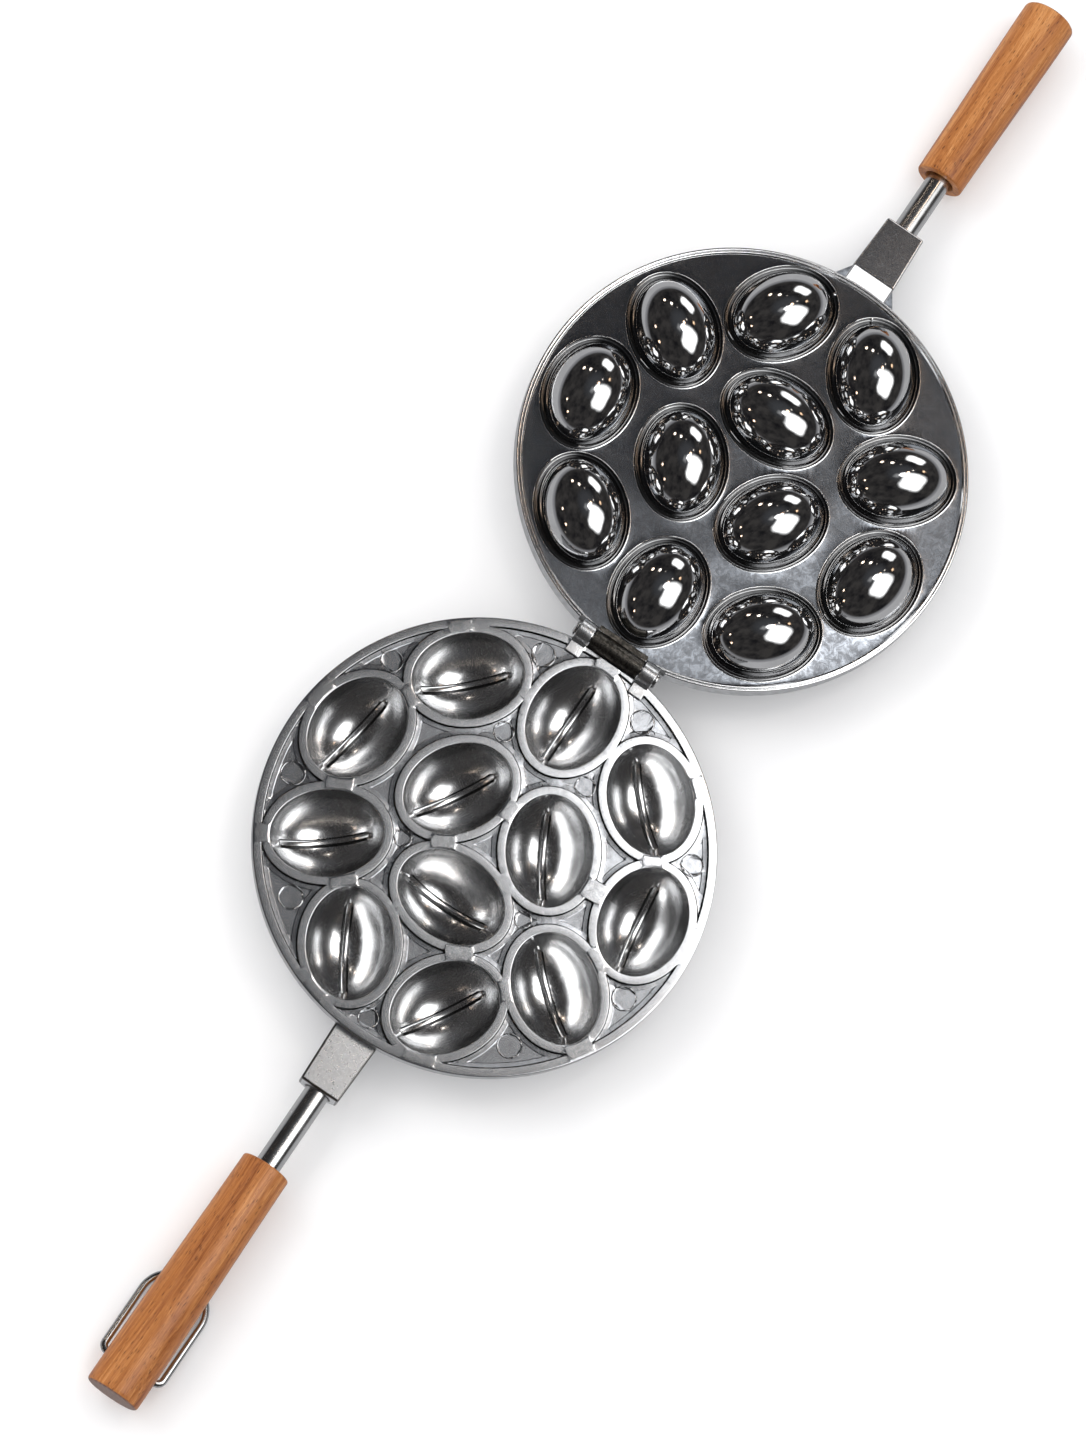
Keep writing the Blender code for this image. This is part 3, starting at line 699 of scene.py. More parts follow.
def cavity_patch(n):
    """Rings down the wall, then the triangulated floor with its rib."""
    rings = []
    t = 2 * np.pi * np.arange(n) / n
    for off, z in ((0.35, None), (0.17, LAND_Z - 0.03), (0.04, LAND_Z - 0.13), (-0.02, LAND_Z - 0.32)):
        u, v = (NUT_A + off) * np.cos(t), (NUT_B + off) * np.sin(t)
        rings.append((u, v, z))
    for deg in (3.2, 6.0, 9.0, 12.5, 16.5, 21.0, 25.5, 30.0):
        k = math.cos(math.radians(deg))
        u, v = k * NUT_A * np.cos(t), k * NUT_B * np.sin(t)
        rings.append((u, v, nut_floor(u, v)))
    edge = np.stack([rings[-1][0], rings[-1][1]], 1)
    lines = []
    for d, _ in RIB_STEPS[:-1]:
        side = np.linspace(-RIB_L, RIB_L, 25)
        arc = np.radians(np.linspace(-90.0, 90.0, 11))[1:-1]
        loop = [(x, -d) for x in side] + [(RIB_L + d * math.cos(q), d * math.sin(q)) for q in arc]
        loop += [(x, d) for x in side[::-1]] + [(-RIB_L - d * math.cos(q), -d * math.sin(q)) for q in arc]
        lines.append((np.array(loop), True))
    lines.append((np.array([(x, 0.0) for x in np.linspace(-RIB_L, RIB_L, 25)]), False))
    extra = []
    for deg, m in ((35, 84), (40, 80), (45, 74), (50, 68), (55, 62), (60, 54), (65, 46), (70, 38), (75, 28), (80, 20), (85, 10)):
        k = math.cos(math.radians(deg))
        q = 2 * np.pi * (np.arange(m) + 0.5 * (deg % 2)) / m
        for u, v in zip(k * NUT_A * np.cos(q), k * NUT_B * np.sin(q)):
            if math.hypot(max(abs(u) - RIB_L, 0.0), v) > 2.1:
                extra.append((u, v))
    xy, tris, _ = triangulate([edge], lines, extra)
    mid = xy[np.array(tris)].mean(1)
    dist = np.hypot(np.maximum(np.abs(mid[:, 0]) - RIB_L, 0.0), mid[:, 1])
    # the rib's sides get the near-black metal: painted shade along the rib
    shade_flank = (dist > RIB_SHADE_FLANK[0]) & (dist < RIB_SHADE_FLANK[1]) & (np.abs(mid[:, 0]) < RIB_L + 0.2)
    return rings, xy, tris, shade_flank


def pocket_fields(x, y, nuts, tabs):
    """Depth distance D of the sunken fields, tab distance, disc distance."""
    d = np.minimum.reduce([oval_distance(x, y, n, NUT_A + LAND_W, NUT_B + LAND_W) for n in nuts])
    r = np.hypot(x, y)
    d = np.minimum(d, PLATE_R - RIM_W - r)
    mouth = np.minimum.reduce([oval_distance(x, y, n, NUT_A, NUT_B) for n in nuts])
    tab = np.full(np.shape(x), 99.0)
    for cx, cy, phi, half_l, half_w in tabs:
        c, s = math.cos(phi), math.sin(phi)
        u = np.abs((x - cx) * c + (y - cy) * s) - half_l
        v = np.abs((y - cy) * c - (x - cx) * s) - half_w
        q = np.hypot(np.maximum(u + 0.8, 0.0), np.maximum(v + 0.8, 0.0)) - 0.8
        q = np.where((u + 0.8 < 0) & (v + 0.8 < 0), np.maximum(u, v), q)
        tab = np.minimum(tab, q)
    tab = np.maximum(tab, 0.72 - mouth)
    tab = np.maximum(tab, r - 87.15)
    d = np.minimum(d, tab)
    disc = np.full(np.shape(x), 99.0)
    for rr, tt, size in DISCS:
        cx, cy = rr * math.cos(math.radians(tt)), rr * math.sin(math.radians(tt))
        disc = np.minimum(disc, np.hypot(x - cx, y - cy) + DISC_R - size)
    d = np.maximum(d, DISC_R + 0.45 - disc)
    d = np.minimum(d, mouth - 1.0)
    d = np.minimum(d, 86.2 - r)
    return d, tab, disc


POCKET_Z = -1.42
# how far into each sunken field its wall is drawn near-black, as painted shade
POCKET_WALL = 0.46
POCKET_STEPS = [(-0.22, LAND_Z), (-0.07, LAND_Z - 0.035), (0.0, LAND_Z - 0.12), (0.15, -1.02), (0.28, -1.22),
                (0.42, -1.28), (1.90, -1.30), (2.00, -1.32), (2.12, -1.40), (2.22, POCKET_Z)]


def cavity_tabs(nuts):
    """Flat bridges where two lands, or a land and the rim, come close."""
    def between(i, j, half_w):
        a, b = nuts[i], nuts[j]
        mid = None
        best = 1e9
        pa = oval(a, NUT_A, NUT_B, 180)
        pb = oval(b, NUT_A, NUT_B, 180)
        gap = np.hypot(pa[:, None, 0] - pb[None, :, 0], pa[:, None, 1] - pb[None, :, 1])
        k, m = divmod(int(np.argmin(gap)), gap.shape[1])
        best = gap[k, m]
        mid = (pa[k] + pb[m]) / 2
        phi = math.atan2(*(pb[m] - pa[k])[::-1])
        return (mid[0], mid[1], phi, best / 2 + 1.2, half_w)

    def to_rim(i, half_w, turn=0.0):
        p = oval(nuts[i], NUT_A, NUT_B, 180)
        k = int(np.argmax(np.hypot(p[:, 0], p[:, 1])))
        phi = math.atan2(p[k, 1], p[k, 0]) + turn
        r = math.hypot(p[k, 0], p[k, 1])
        mid = (r + 86.6) / 2
        return (mid * math.cos(phi), mid * math.sin(phi), phi, (87.6 - r) / 2 + 1.2, half_w)
    # nuts: 0 hinge side, 1 inner, 2/3 outer 1, 4/5 outer 2, 6/7 outer 3, 8/9 outer 4, 10/11 inner
    return [to_rim(4, 6.0), to_rim(2, 4.6, 0.03), between(6, 4, 5.2), between(6, 8, 5.2), to_rim(6, 3.6),
            between(10, 1, 4.8), between(11, 10, 4.2), between(1, 9, 5.4), to_rim(9, 6.2, 0.02), to_rim(7, 5.4),
            to_rim(3, 4.2, -0.02), between(7, 5, 4.6), between(9, 7, 4.2), to_rim(0, 5.0), between(5, 3, 4.0),
            between(2, 4, 4.0), between(11, 5, 4.0), to_rim(8, 4.8)]


def build_cavity_plate():
    nuts = nut_places(False)
    tabs = cavity_tabs(nuts)
    mats = [M_LAND, M_POCKET, M_CAVITY, M_TAB, M_CAST, M_SOCKET, M_INSIDE, M_SHADE_FLANK, M_SHADE_EDGE]
    LAND, POCKET, CAVITY, TAB, CAST, SOCKET, INSIDE, SHADE_FLANK, SHADE_EDGE = range(9)
    skin = Skin()

    grid = np.arange(-88.2, 88.21, 0.35)
    gx, gy = np.meshgrid(grid, grid)
    d, tab, disc = pocket_fields(gx, gy, nuts, tabs)
    lines = []
    for level, _ in POCKET_STEPS:
        for line, closed in level_lines(d, grid, level):
            if len(line) > 5:
                lines.append((thin(line, closed, 0.007, 1.4), closed))
    tab_only = np.maximum(tab, 0.0 - 99.0)
    for level in (-0.18, -0.02):
        for line, closed in level_lines(tab_only, grid, level):
            if len(line) > 5:
                lines.append((thin(line, closed, 0.007, 2.0), closed))
    for rr, tt, size in DISCS:
        cx, cy = rr * math.cos(math.radians(tt)), rr * math.sin(math.radians(tt))
        for off in (-0.42, -0.24, -0.10, 0.04, 0.20):
            lines.append((circle(size + off, 0.0, 48, cx, cy)[:, :2], True))

    n = 96
    outline = circle(87.5, 0.0, 256)[:, :2]
    holes = [oval(nut, NUT_A + 0.35, NUT_B + 0.35, n) for nut in nuts]
    xy, tris, tag = triangulate([outline] + holes, lines, [])
    dd, tt, cc = pocket_fields(xy[:, 0], xy[:, 1], nuts, tabs)
    z = np.interp(dd, [s[0] for s in POCKET_STEPS], [s[1] for s in POCKET_STEPS])
    z = np.where(dd < -0.05, z + 0.05 * smooth_step((-tt) / 0.18), z)
    raised = np.interp(cc - DISC_R, [-0.42, -0.24, -0.10, 0.04, 0.20], [0.0, 0.20, 0.26, 0.20, 0.0], 0.0, 0.0)
    inner = np.where(cc < DISC_R - 0.24, 0.07, 0.0)
    z = np.where(dd > 0.2, z + (raised + inner) * smooth_step((dd - 0.2) / 0.2), z)
    z = np.where(tag >= 0, LAND_Z, z)
    z = np.minimum(z, TOP)
    ids = skin.add(np.column_stack([xy, z]))
    tri = np.array(tris)
    mid = xy[tri].mean(1)
    md, mt, mc = pocket_fields(mid[:, 0], mid[:, 1], nuts, tabs)
    kind = np.where(md > 0.0, POCKET, np.where(mt < -0.02, TAB, LAND))
    # a band of each pocket wall gets the near-black metal: painted shade outlining the sunken fields
    kind = np.where((md > 0.0) & (md < POCKET_WALL) & (mc > DISC_R + 0.1), SHADE_FLANK, kind)
    # each disc's raised ring takes the lighter land metal: painted highlight that draws its thin bright edge
    kind = np.where((md > 0.2) & (np.abs(mc - DISC_R + 0.10) < 0.22), LAND, kind)
    skin.triangles(ids, tris, kind)

    # rim and side wall
    side = [(87.5, LAND_Z), (87.74, -0.28), (87.90, -0.38), (87.98, -0.55), (88.0, -0.80), (88.0, -5.0),
            (87.95, -5.30), (87.80, -5.52), (87.4, DECK_Z)]
    rows = [skin.add(circle(r, zz, 256)) for r, zz in side]
    for k, (a, b) in enumerate(zip(rows, rows[1:])):
        skin.strip(a, b, LAND if k < 3 else CAST)

    # the cavities
    rings, cxy, ctris, shade_flank = cavity_patch(n)
    for cx, cy, phi in nuts:
        c, s = math.cos(phi), math.sin(phi)

        def place(u, v, zz):
            return np.column_stack([cx + u * c - v * s, cy + u * s + v * c, np.broadcast_to(zz, np.shape(u))])
        rows = [skin.add(place(u, v, LAND_Z if zz is None else zz), nut_tag(u, v)) for u, v, zz in rings]
        for k, (a, b) in enumerate(zip(rows, rows[1:])):
            skin.strip(a, b, LAND if k == 0 else CAVITY)
        ids = skin.add(place(cxy[:, 0], cxy[:, 1], nut_floor(cxy[:, 0], cxy[:, 1])), nut_tag(cxy[:, 0], cxy[:, 1]))
        skin.triangles(ids, ctris, np.where(shade_flank, SHADE_FLANK, CAVITY))

    # underside: deck with the cups standing out of it
    m = 72
    a, b = NUT_A + CUP_WALL, NUT_B + CUP_WALL
    outline = circle(87.4, 0.0, 256)[:, :2]
    holes = [oval(nut, a + 0.38, b + 0.38, m) for nut in nuts]
    xy, tris, tag = triangulate([outline] + holes, [], [])
    ids = skin.add(np.column_stack([xy, np.full(len(xy), DECK_Z)]))
    skin.triangles(ids, tris, [CAST] * len(tris))
    cup = [(a + 0.38, b + 0.38, DECK_Z), (a + 0.16, b + 0.16, DECK_Z - 0.10), (a + 0.04, b + 0.04, DECK_Z - 0.35),
           (a, b, DECK_Z - 0.8), (a, b, -9.2)]
    for deg in (7, 14, 21, 28, 35, 42, 49, 56, 63, 69, 74):
        k = math.cos(math.radians(deg))
        cup.append((a * k, b * k, -9.2 - 16.2 * math.sin(math.radians(deg)) ** 0.96))
    cup = [(p, q, max(zz, -PART_Z)) for p, q, zz in cup]
    cup += [(a * 0.25, b * 0.25, -PART_Z + 0.12), (a * 0.235, b * 0.235, -PART_Z)]
    for nut in nuts:
        rows = [skin.add(np.column_stack([oval(nut, p, q, m), np.full(m, zz)])) for p, q, zz in cup]
        for r0, r1 in zip(rows, rows[1:]):
            skin.strip(r0, r1, CAST)
        top = skin.add([(nut[0], nut[1], -PART_Z)])
        skin.fan(rows[-1], CAST, top[0])

    plate = skin.build("cavity_plate_casting", mats)

    # two hinge lugs with rounded edges
    for sgn in (-1, 1):
        y0, y1 = sorted((sgn * 11.3, sgn * 17.3))
        arc = [(HINGE_OFFSET + 4.9 * math.cos(math.radians(q)), 4.9 * math.sin(math.radians(q)))
               for q in range(172, -91, -8)]
        outline = [(HINGE_OFFSET - 9.5, TOP), (HINGE_OFFSET - 4.9, TOP)] + arc
        outline += [(HINGE_OFFSET - 3.0, -7.6), (HINGE_OFFSET - 9.5, -7.6)]
        lug = block("lug", [[(x, y0, zz) for x, zz in outline], [(x, y1, zz) for x, zz in outline]],
                    mats, SOCKET, 0.35, 2, ends=False)
        cut(plate, lug, 'UNION')
    # the socket's rounded edges take the dark edge metal: painted shade along its outline
    socket = socket_block(-1.0, SOCKET_END, 79.0, [(80.0, SOCKET_TOP)], mats, SOCKET, SHADE_EDGE)
    cut(plate, socket, 'UNION')
    bore = turned([(0, -22.0), (2.3, -22.0), (2.3, 22.0), (0, 22.0)], 40, 'Y', (HINGE_OFFSET, 0, 0), [INSIDE] * 3)
    cut(plate, bore.build("bore", mats), 'DIFFERENCE')
    bore = turned([(0, -11.2), (4.45, -11.2), (4.45, 11.2), (0, 11.2)], 64, 'Y', (HINGE_OFFSET, 0, 0), [INSIDE] * 3)
    cut(plate, bore.build("bore", mats), 'DIFFERENCE')
    handle_bores(plate, -1.0, SOCKET_END, mats, INSIDE)
    place_piece(plate, (HINGE_X - HINGE_OFFSET, 0.0, PART_Z))
    finish_plate(plate)
    return plate


def socket_block(sign, end, inner, facet, mats, index, edge):
    near, far, low, c = 9.4, 8.3, SOCKET_BOTTOM, 3.4

    def section(s, half, top):
        return [(sign * s, -half, top), (sign * s, half, top), (sign * s, half, low + c),
                (sign * s, half - c, low), (sign * s, c - half, low), (sign * s, -half, low + c)]
    rings = [section(inner, near, facet[0][1])] + [section(s, near, z) for s, z in facet]
    rings.append(section(end, far, SOCKET_TOP))
    obj = block("socket", rings, mats, index, 0.85, 4, edge=edge)
    # a sloping facet takes the edge metal too, like the bevels: the light bead metal on the dome socket paints a
    # highlight line there, and the dark edge metal on the cavity socket paints a shade line
    for f in obj.data.polygons:
        if 0.8 < f.normal.z < 0.97 and f.area > 30.0 * MM * MM:
            f.material_index = edge
    return obj


def handle_bores(plate, sign, end, mats, index):
    bore = turned([(0, sign * (ROD_IN - 0.3)), (5.2, sign * (ROD_IN - 0.3)), (5.2, sign * (end - 0.5)),
                   (5.7, sign * (end + 0.02)), (5.7, sign * (end + 2.0)), (0, sign * (end + 2.0))],
                  64, 'X', (0, 0, HANDLE_Z), [index] * 5)
    cut(plate, bore.build("bore", mats), 'DIFFERENCE')
    bore = turned([(0, SOCKET_BOTTOM - 2.0), (2.6, SOCKET_BOTTOM - 2.0), (2.6, SOCKET_BOTTOM),
                   (2.3, SOCKET_BOTTOM + 0.3), (2.3, SOCKET_TOP - 1.7), (0, SOCKET_TOP - 1.7)],
                  36, 'Z', (sign * CROSS_S, 0, 0), [index] * 5)
    cut(plate, bore.build("bore", mats), 'DIFFERENCE')


def place_piece(obj, origin):
    """Move the mesh itself, so that the object stays at the frame's origin."""
    obj.data.transform(Matrix.Translation(Vector(origin) * MM))


# --------------------------------------------------------------- dome plate
def build_dome_plate():
    nuts = nut_places(True)
    mats = [M_FIELD, M_MOAT, M_DOME, M_BEAD_HIGHLIGHT, M_CAST, M_SOCKET_DARK, M_INSIDE, M_KNUCKLE_STAIN_SHADE]
    FIELD, MOAT, DOME, BEAD_HIGHLIGHT, CAST, SOCKET, INSIDE, KNUCKLE_STAIN_SHADE = range(8)
    skin = Skin()
    n = 96
    a, b = NUT_A + MOAT_W, NUT_B + MOAT_W
    outline = circle(85.42, 0.0, 256)[:, :2]
    holes = [oval(nut, a + 0.28, b + 0.28, n) for nut in nuts]
    xy, tris, tag = triangulate([outline] + holes, [], [])
    ids = skin.add(np.column_stack([xy, np.full(len(xy), DOME_FIELD)]))
    skin.triangles(ids, tris, [FIELD] * len(tris))

    # moat and dome
    moat = [(a + 0.28, b + 0.28, DOME_FIELD), (a + 0.17, b + 0.17, DOME_FIELD + 0.09), (a + 0.03, b + 0.03, DOME_FIELD + 0.11),
            (a - 0.09, b - 0.09, DOME_FIELD + 0.03), (a - 0.20, b - 0.20, DOME_FIELD - 0.20),
            (a - 0.33, b - 0.33, -1.55), (a - 0.52, b - 0.52, -1.86), (a - 0.80, b - 0.80, -2.05)]
    rise = DOME_TOP - MOAT_FLOOR
    for z in (-2.09, -1.98, -1.84, -1.66, -1.42, -1.10, -0.68, -0.15, 0.5, 1.25):
        lean = 1.0 - math.sqrt(1.0 - ((z - MOAT_FLOOR) / rise) ** 2)
        flare = 1.75 * math.exp(-(z - MOAT_FLOOR) / 0.90)
        moat.append(((DOME_A + DOME_SWELL) * (1 - lean) + flare, (DOME_B + DOME_SWELL) * (1 - lean) + flare, z))
    for deg in (17, 21, 26, 31, 36, 41, 46, 51, 56, 61, 66, 71, 76, 81, 86):
        k = math.cos(math.radians(deg))
        moat.append(((DOME_A + DOME_SWELL) * k, (DOME_B + DOME_SWELL) * k, MOAT_FLOOR + rise * math.sin(math.radians(deg))))
    for nut in nuts:
        rows = []
        for p, q, z in moat:
            t = 2 * np.pi * np.arange(n) / n
            tagv = np.stack([np.full(n, p / DOME_A), t], 1)
            rows.append(skin.add(np.column_stack([oval(nut, p, q, n), np.full(n, z)]), tagv))
        for k, (r0, r1) in enumerate(zip(rows, rows[1:])):
            # each moat's lip takes the light bead metal: a painted highlight ringing the moat
            skin.strip(r0, r1, BEAD_HIGHLIGHT if k < 3 else (MOAT if k < 13 else DOME))
        top = skin.add([(nut[0], nut[1], DOME_TOP)], [(0.0, 0.0)])
        skin.fan(rows[-1], DOME, top[0])

    # double bead round the rim, drawn in light metal as a painted highlight on the real bead; skirt and the recessed
    # back
    side = [(85.42, DOME_FIELD), (85.56, DOME_FIELD + 0.10), (85.70, -0.45), (85.86, -0.23), (86.10, TOP),
            (86.42, TOP), (86.60, -0.24), (86.70, -0.40), (86.82, -0.46), (86.94, -0.40), (87.04, -0.24), (87.20, TOP),
            (87.50, TOP), (87.76, -0.22), (87.93, -0.42), (88.0, -0.75), (88.0, -7.05), (87.92, -7.38), (87.70, -7.58),
            (87.4, SKIRT_Z), (85.0, SKIRT_Z), (84.62, -7.55), (84.44, -7.28), (84.40, -6.9), (84.40, -6.1),
            (84.28, -5.70), (84.05, -5.48), (83.6, DOME_DECK)]
    rows = [skin.add(circle(r, z, 256)) for r, z in side]
    for k, (r0, r1) in enumerate(zip(rows, rows[1:])):
        skin.strip(r0, r1, BEAD_HIGHLIGHT if k < 15 else CAST)
    m = 64
    pa, pb = DOME_A - 3.7, DOME_B - 3.7
    outline = circle(83.6, 0.0, 256)[:, :2]
    holes = [oval(nut, pa + 0.7, pb + 0.7, m) for nut in nuts]
    xy, tris, tag = triangulate([outline] + holes, [], [])
    ids = skin.add(np.column_stack([xy, np.full(len(xy), DOME_DECK)]))
    skin.triangles(ids, tris, [CAST] * len(tris))
    back = [(0.7, DOME_DECK), (0.36, DOME_DECK + 0.10), (0.12, DOME_DECK + 0.36), (0.0, DOME_DECK + 0.8)]
    for nut in nuts:
        rows = [skin.add(np.column_stack([oval(nut, pa + o, pb + o, m), np.full(m, z)])) for o, z in back]
        for deg in (9, 17, 25, 33, 42, 51, 60, 69, 78, 86):
            k = math.cos(math.radians(deg))
            z = DOME_DECK + 14.2 * math.sin(math.radians(deg))
            rows.append(skin.add(np.column_stack([oval(nut, pa * k, pb * k, m), np.full(m, z)])))
        for r0, r1 in zip(rows, rows[1:]):
            skin.strip(r0, r1, CAST)
        top = skin.add([(nut[0], nut[1], DOME_DECK + 14.2)])
        skin.fan(rows[-1], CAST, top[0])
    plate = skin.build("dome_plate_casting", mats)

    hx = -HINGE_OFFSET
    for sgn in (-1, 1):
        y0, y1 = sorted((sgn * 10.95, sgn * 19.5))
        room = turned([(0, y0), (5.35, y0), (5.35, y1), (0, y1)], 64, 'Y', (hx, 0, 0), [INSIDE] * 3)
        cut(plate, room.build("room", mats), 'DIFFERENCE')
    # the tongue between the lugs is drawn near-black: painted shade of the recess, with a brown stain tint
    outline = [(4.0 * math.cos(math.radians(q)), 4.0 * math.sin(math.radians(q))) for q in range(0, 271, 9)]
    outline[0] = (4.0, TOP)
    outline += [(1.5, -5.2), (6.5, -5.2), (6.5, TOP)]
    outline = outline[::-1]
    tongue = block("tongue", [[(hx + x, -10.9, z) for x, z in outline], [(hx + x, 10.9, z) for x, z in outline]],
                   mats, KNUCKLE_STAIN_SHADE, 0.3, 2, ends=False)
    cut(plate, tongue, 'UNION')
    toe = [(-1.7, -5.1), (2.4, -5.1), (2.4, -2.4), (0.3, -2.4), (-1.7, -3.9)]
    toe = block("toe", [[(hx + x, -6.0, z) for x, z in toe], [(hx + x, 6.0, z) for x, z in toe]], mats, SOCKET)
    cut(plate, toe, 'UNION')
    # the socket's bevels and sloping facet take the light bead metal: painted highlight lines
    socket = socket_block(1.0, DOME_SOCKET_END, 79.0, [(87.6, DOME_FIELD - 0.1), (95.5, SOCKET_TOP)], mats, SOCKET, BEAD_HIGHLIGHT)
    cut(plate, socket, 'UNION')
    # a small sloping cheek on each side, between the socket and the rim
    for sgn in (-1, 1):
        plan = [(86.3, 8.6), (86.3, 13.9), (87.6, 13.2), (95.0, 9.25), (95.0, 8.6)]
        if sgn > 0:
            plan = plan[::-1]
        low = [(x, sgn * y, -7.3) for x, y in plan]
        high = [(x, sgn * y, DOME_FIELD - 0.6 - (x - 87.6) * 0.443) for x, y in plan]
        # the cheek's bevelled edges take the light bead metal: painted highlight lines
        cheek = block("cheek", [low, high], mats, SOCKET, 0.35, 2, edge=BEAD_HIGHLIGHT)
        cut(plate, cheek, 'UNION')
    bore = turned([(0, -22.0), (2.3, -22.0), (2.3, 22.0), (0, 22.0)], 40, 'Y', (hx, 0, 0), [INSIDE] * 3)
    cut(plate, bore.build("bore", mats), 'DIFFERENCE')
    handle_bores(plate, 1.0, DOME_SOCKET_END, mats, INSIDE)
    place_piece(plate, (HINGE_X + HINGE_OFFSET, 0.0, PART_Z))
    finish_plate(plate)
    return plate


# --------------------------------------------------- rods, pins, grips, loop
def build_rod(name, cx, sign):
    prof = rounded([(0, ROD_IN), (ROD_R, ROD_IN, 0.8), (ROD_R, ROD_OUT, 1.2), (0, ROD_OUT)], 0.8, 5)
    prof = [prof[0]] + prof[1:-1] + [prof[-1]]
    # extra rings so that the long side stays true
    out = []
    for p, q in zip(prof, prof[1:]):
        out.append(p)
        if abs(q[1] - p[1]) > 20.0:
            out += [(p[0] + (q[0] - p[0]) * k / 12, p[1] + (q[1] - p[1]) * k / 12) for k in range(1, 12)]
    out.append(prof[-1])
    skin = turned([(r, sign * s) for r, s in out], 72, 'X', (cx, 0, PART_Z + HANDLE_Z))
    rod = skin.build(name, [M_CHROME, M_INSIDE])
    hole = turned([(0, -8.0), (2.3, -8.0), (2.3, 8.0), (0, 8.0)], 36, 'Z',
                  (cx + sign * CROSS_S, 0, PART_Z + HANDLE_Z), [1] * 3)
    cut(rod, hole.build("hole", [M_CHROME, M_INSIDE]), 'DIFFERENCE')
    finish_plate(rod, 35.0)
    return rod


def build_cross_pin(name, cx, sign):
    low, high = SOCKET_BOTTOM + 0.2, SOCKET_TOP - 2.1
    prof = rounded([(0, low), (2.0, low, 0.4), (2.0, high, 0.6), (0, high)], 0.4, 4)
    return turned(prof, 40, 'Z', (cx + sign * CROSS_S, 0, PART_Z)).build(name, [M_PIN])


def build_hinge_pin():
    inner = 17.6
    prof = [(0, -inner - 1.5), (2.2, -inner - 1.5, 0.3), (3.4, -inner - 0.9, 0.5), (3.4, -inner, 0.15),
            (2.0, -inner, 0.1), (2.0, inner, 0.1), (3.0, inner, 0.15), (3.0, inner + 0.7, 0.4),
            (2.0, inner + 1.3, 0.3), (0, inner + 1.3)]
    return turned(rounded(prof, 0.2, 4), 48, 'Y', (HINGE_X, 0, PART_Z)).build("hinge_pin_headed", [M_PIN])


def grip_profile(end):
    s0 = GRIP_NEAR
    bore = ROD_R + 0.3
    prof = [(0, ROD_OUT + 0.4), (bore, ROD_OUT + 0.4, 0.2), (bore, s0 + 2.4, 0.4), (bore + 1.1, s0 + 0.05, 0.25),
            (GRIP_R_NEAR, s0, 1.0)]
    inside = len(prof) - 1
    side = []
    for k in range(1, 40):
        f = k / 40.0
        s = s0 + 1.6 + f * (end - 8.0 - s0 - 1.6)
        side.append((GRIP_R_NEAR + (GRIP_R_FAR - GRIP_R_NEAR) * smooth_step(f) * 0.35 + (GRIP_R_FAR - GRIP_R_NEAR) * f * 0.65, s, 0.0))
    prof += side
    prof += [(GRIP_R_FAR, end - 6.0, 0.0), (GRIP_R_FAR, end - 4.0, 0.0), (GRIP_R_FAR, end, 1.7), (0, end)]
    return rounded(prof, 0.5, 6), s0, end


def build_grip(name, cx, sign, end):
    prof, s0, far = grip_profile(end)
    # a flat end needs rings across it, for its grain and its edge
    full = []
    for p, q in zip(prof, prof[1:]):
        full.append(p)
        if abs(q[1] - p[1]) < 0.01 and abs(q[0] - p[0]) > 3.0:
            full += [(p[0] + (q[0] - p[0]) * k / 5, p[1]) for k in range(1, 5)]
    full.append(prof[-1])
    mats = []
    for p, q in zip(full, full[1:]):
        s = (p[1] + q[1]) / 2
        r = (p[0] + q[0]) / 2
        slope = abs(q[0] - p[0]) / max(1e-6, math.hypot(q[0] - p[0], q[1] - p[1]))
        if s > far - 1.0 and slope > 0.8:
            mats.append(1)
        elif r < ROD_R + 0.35 and s > s0 + 2.0:
            mats.append(1)
        else:
            mats.append(0)
    skin = turned([(r, sign * s) for r, s in full], 120, 'X', (cx, 0, PART_Z + HANDLE_Z), mats)
    return skin.build(name, [M_BEECH, M_END], sharp=50.0)


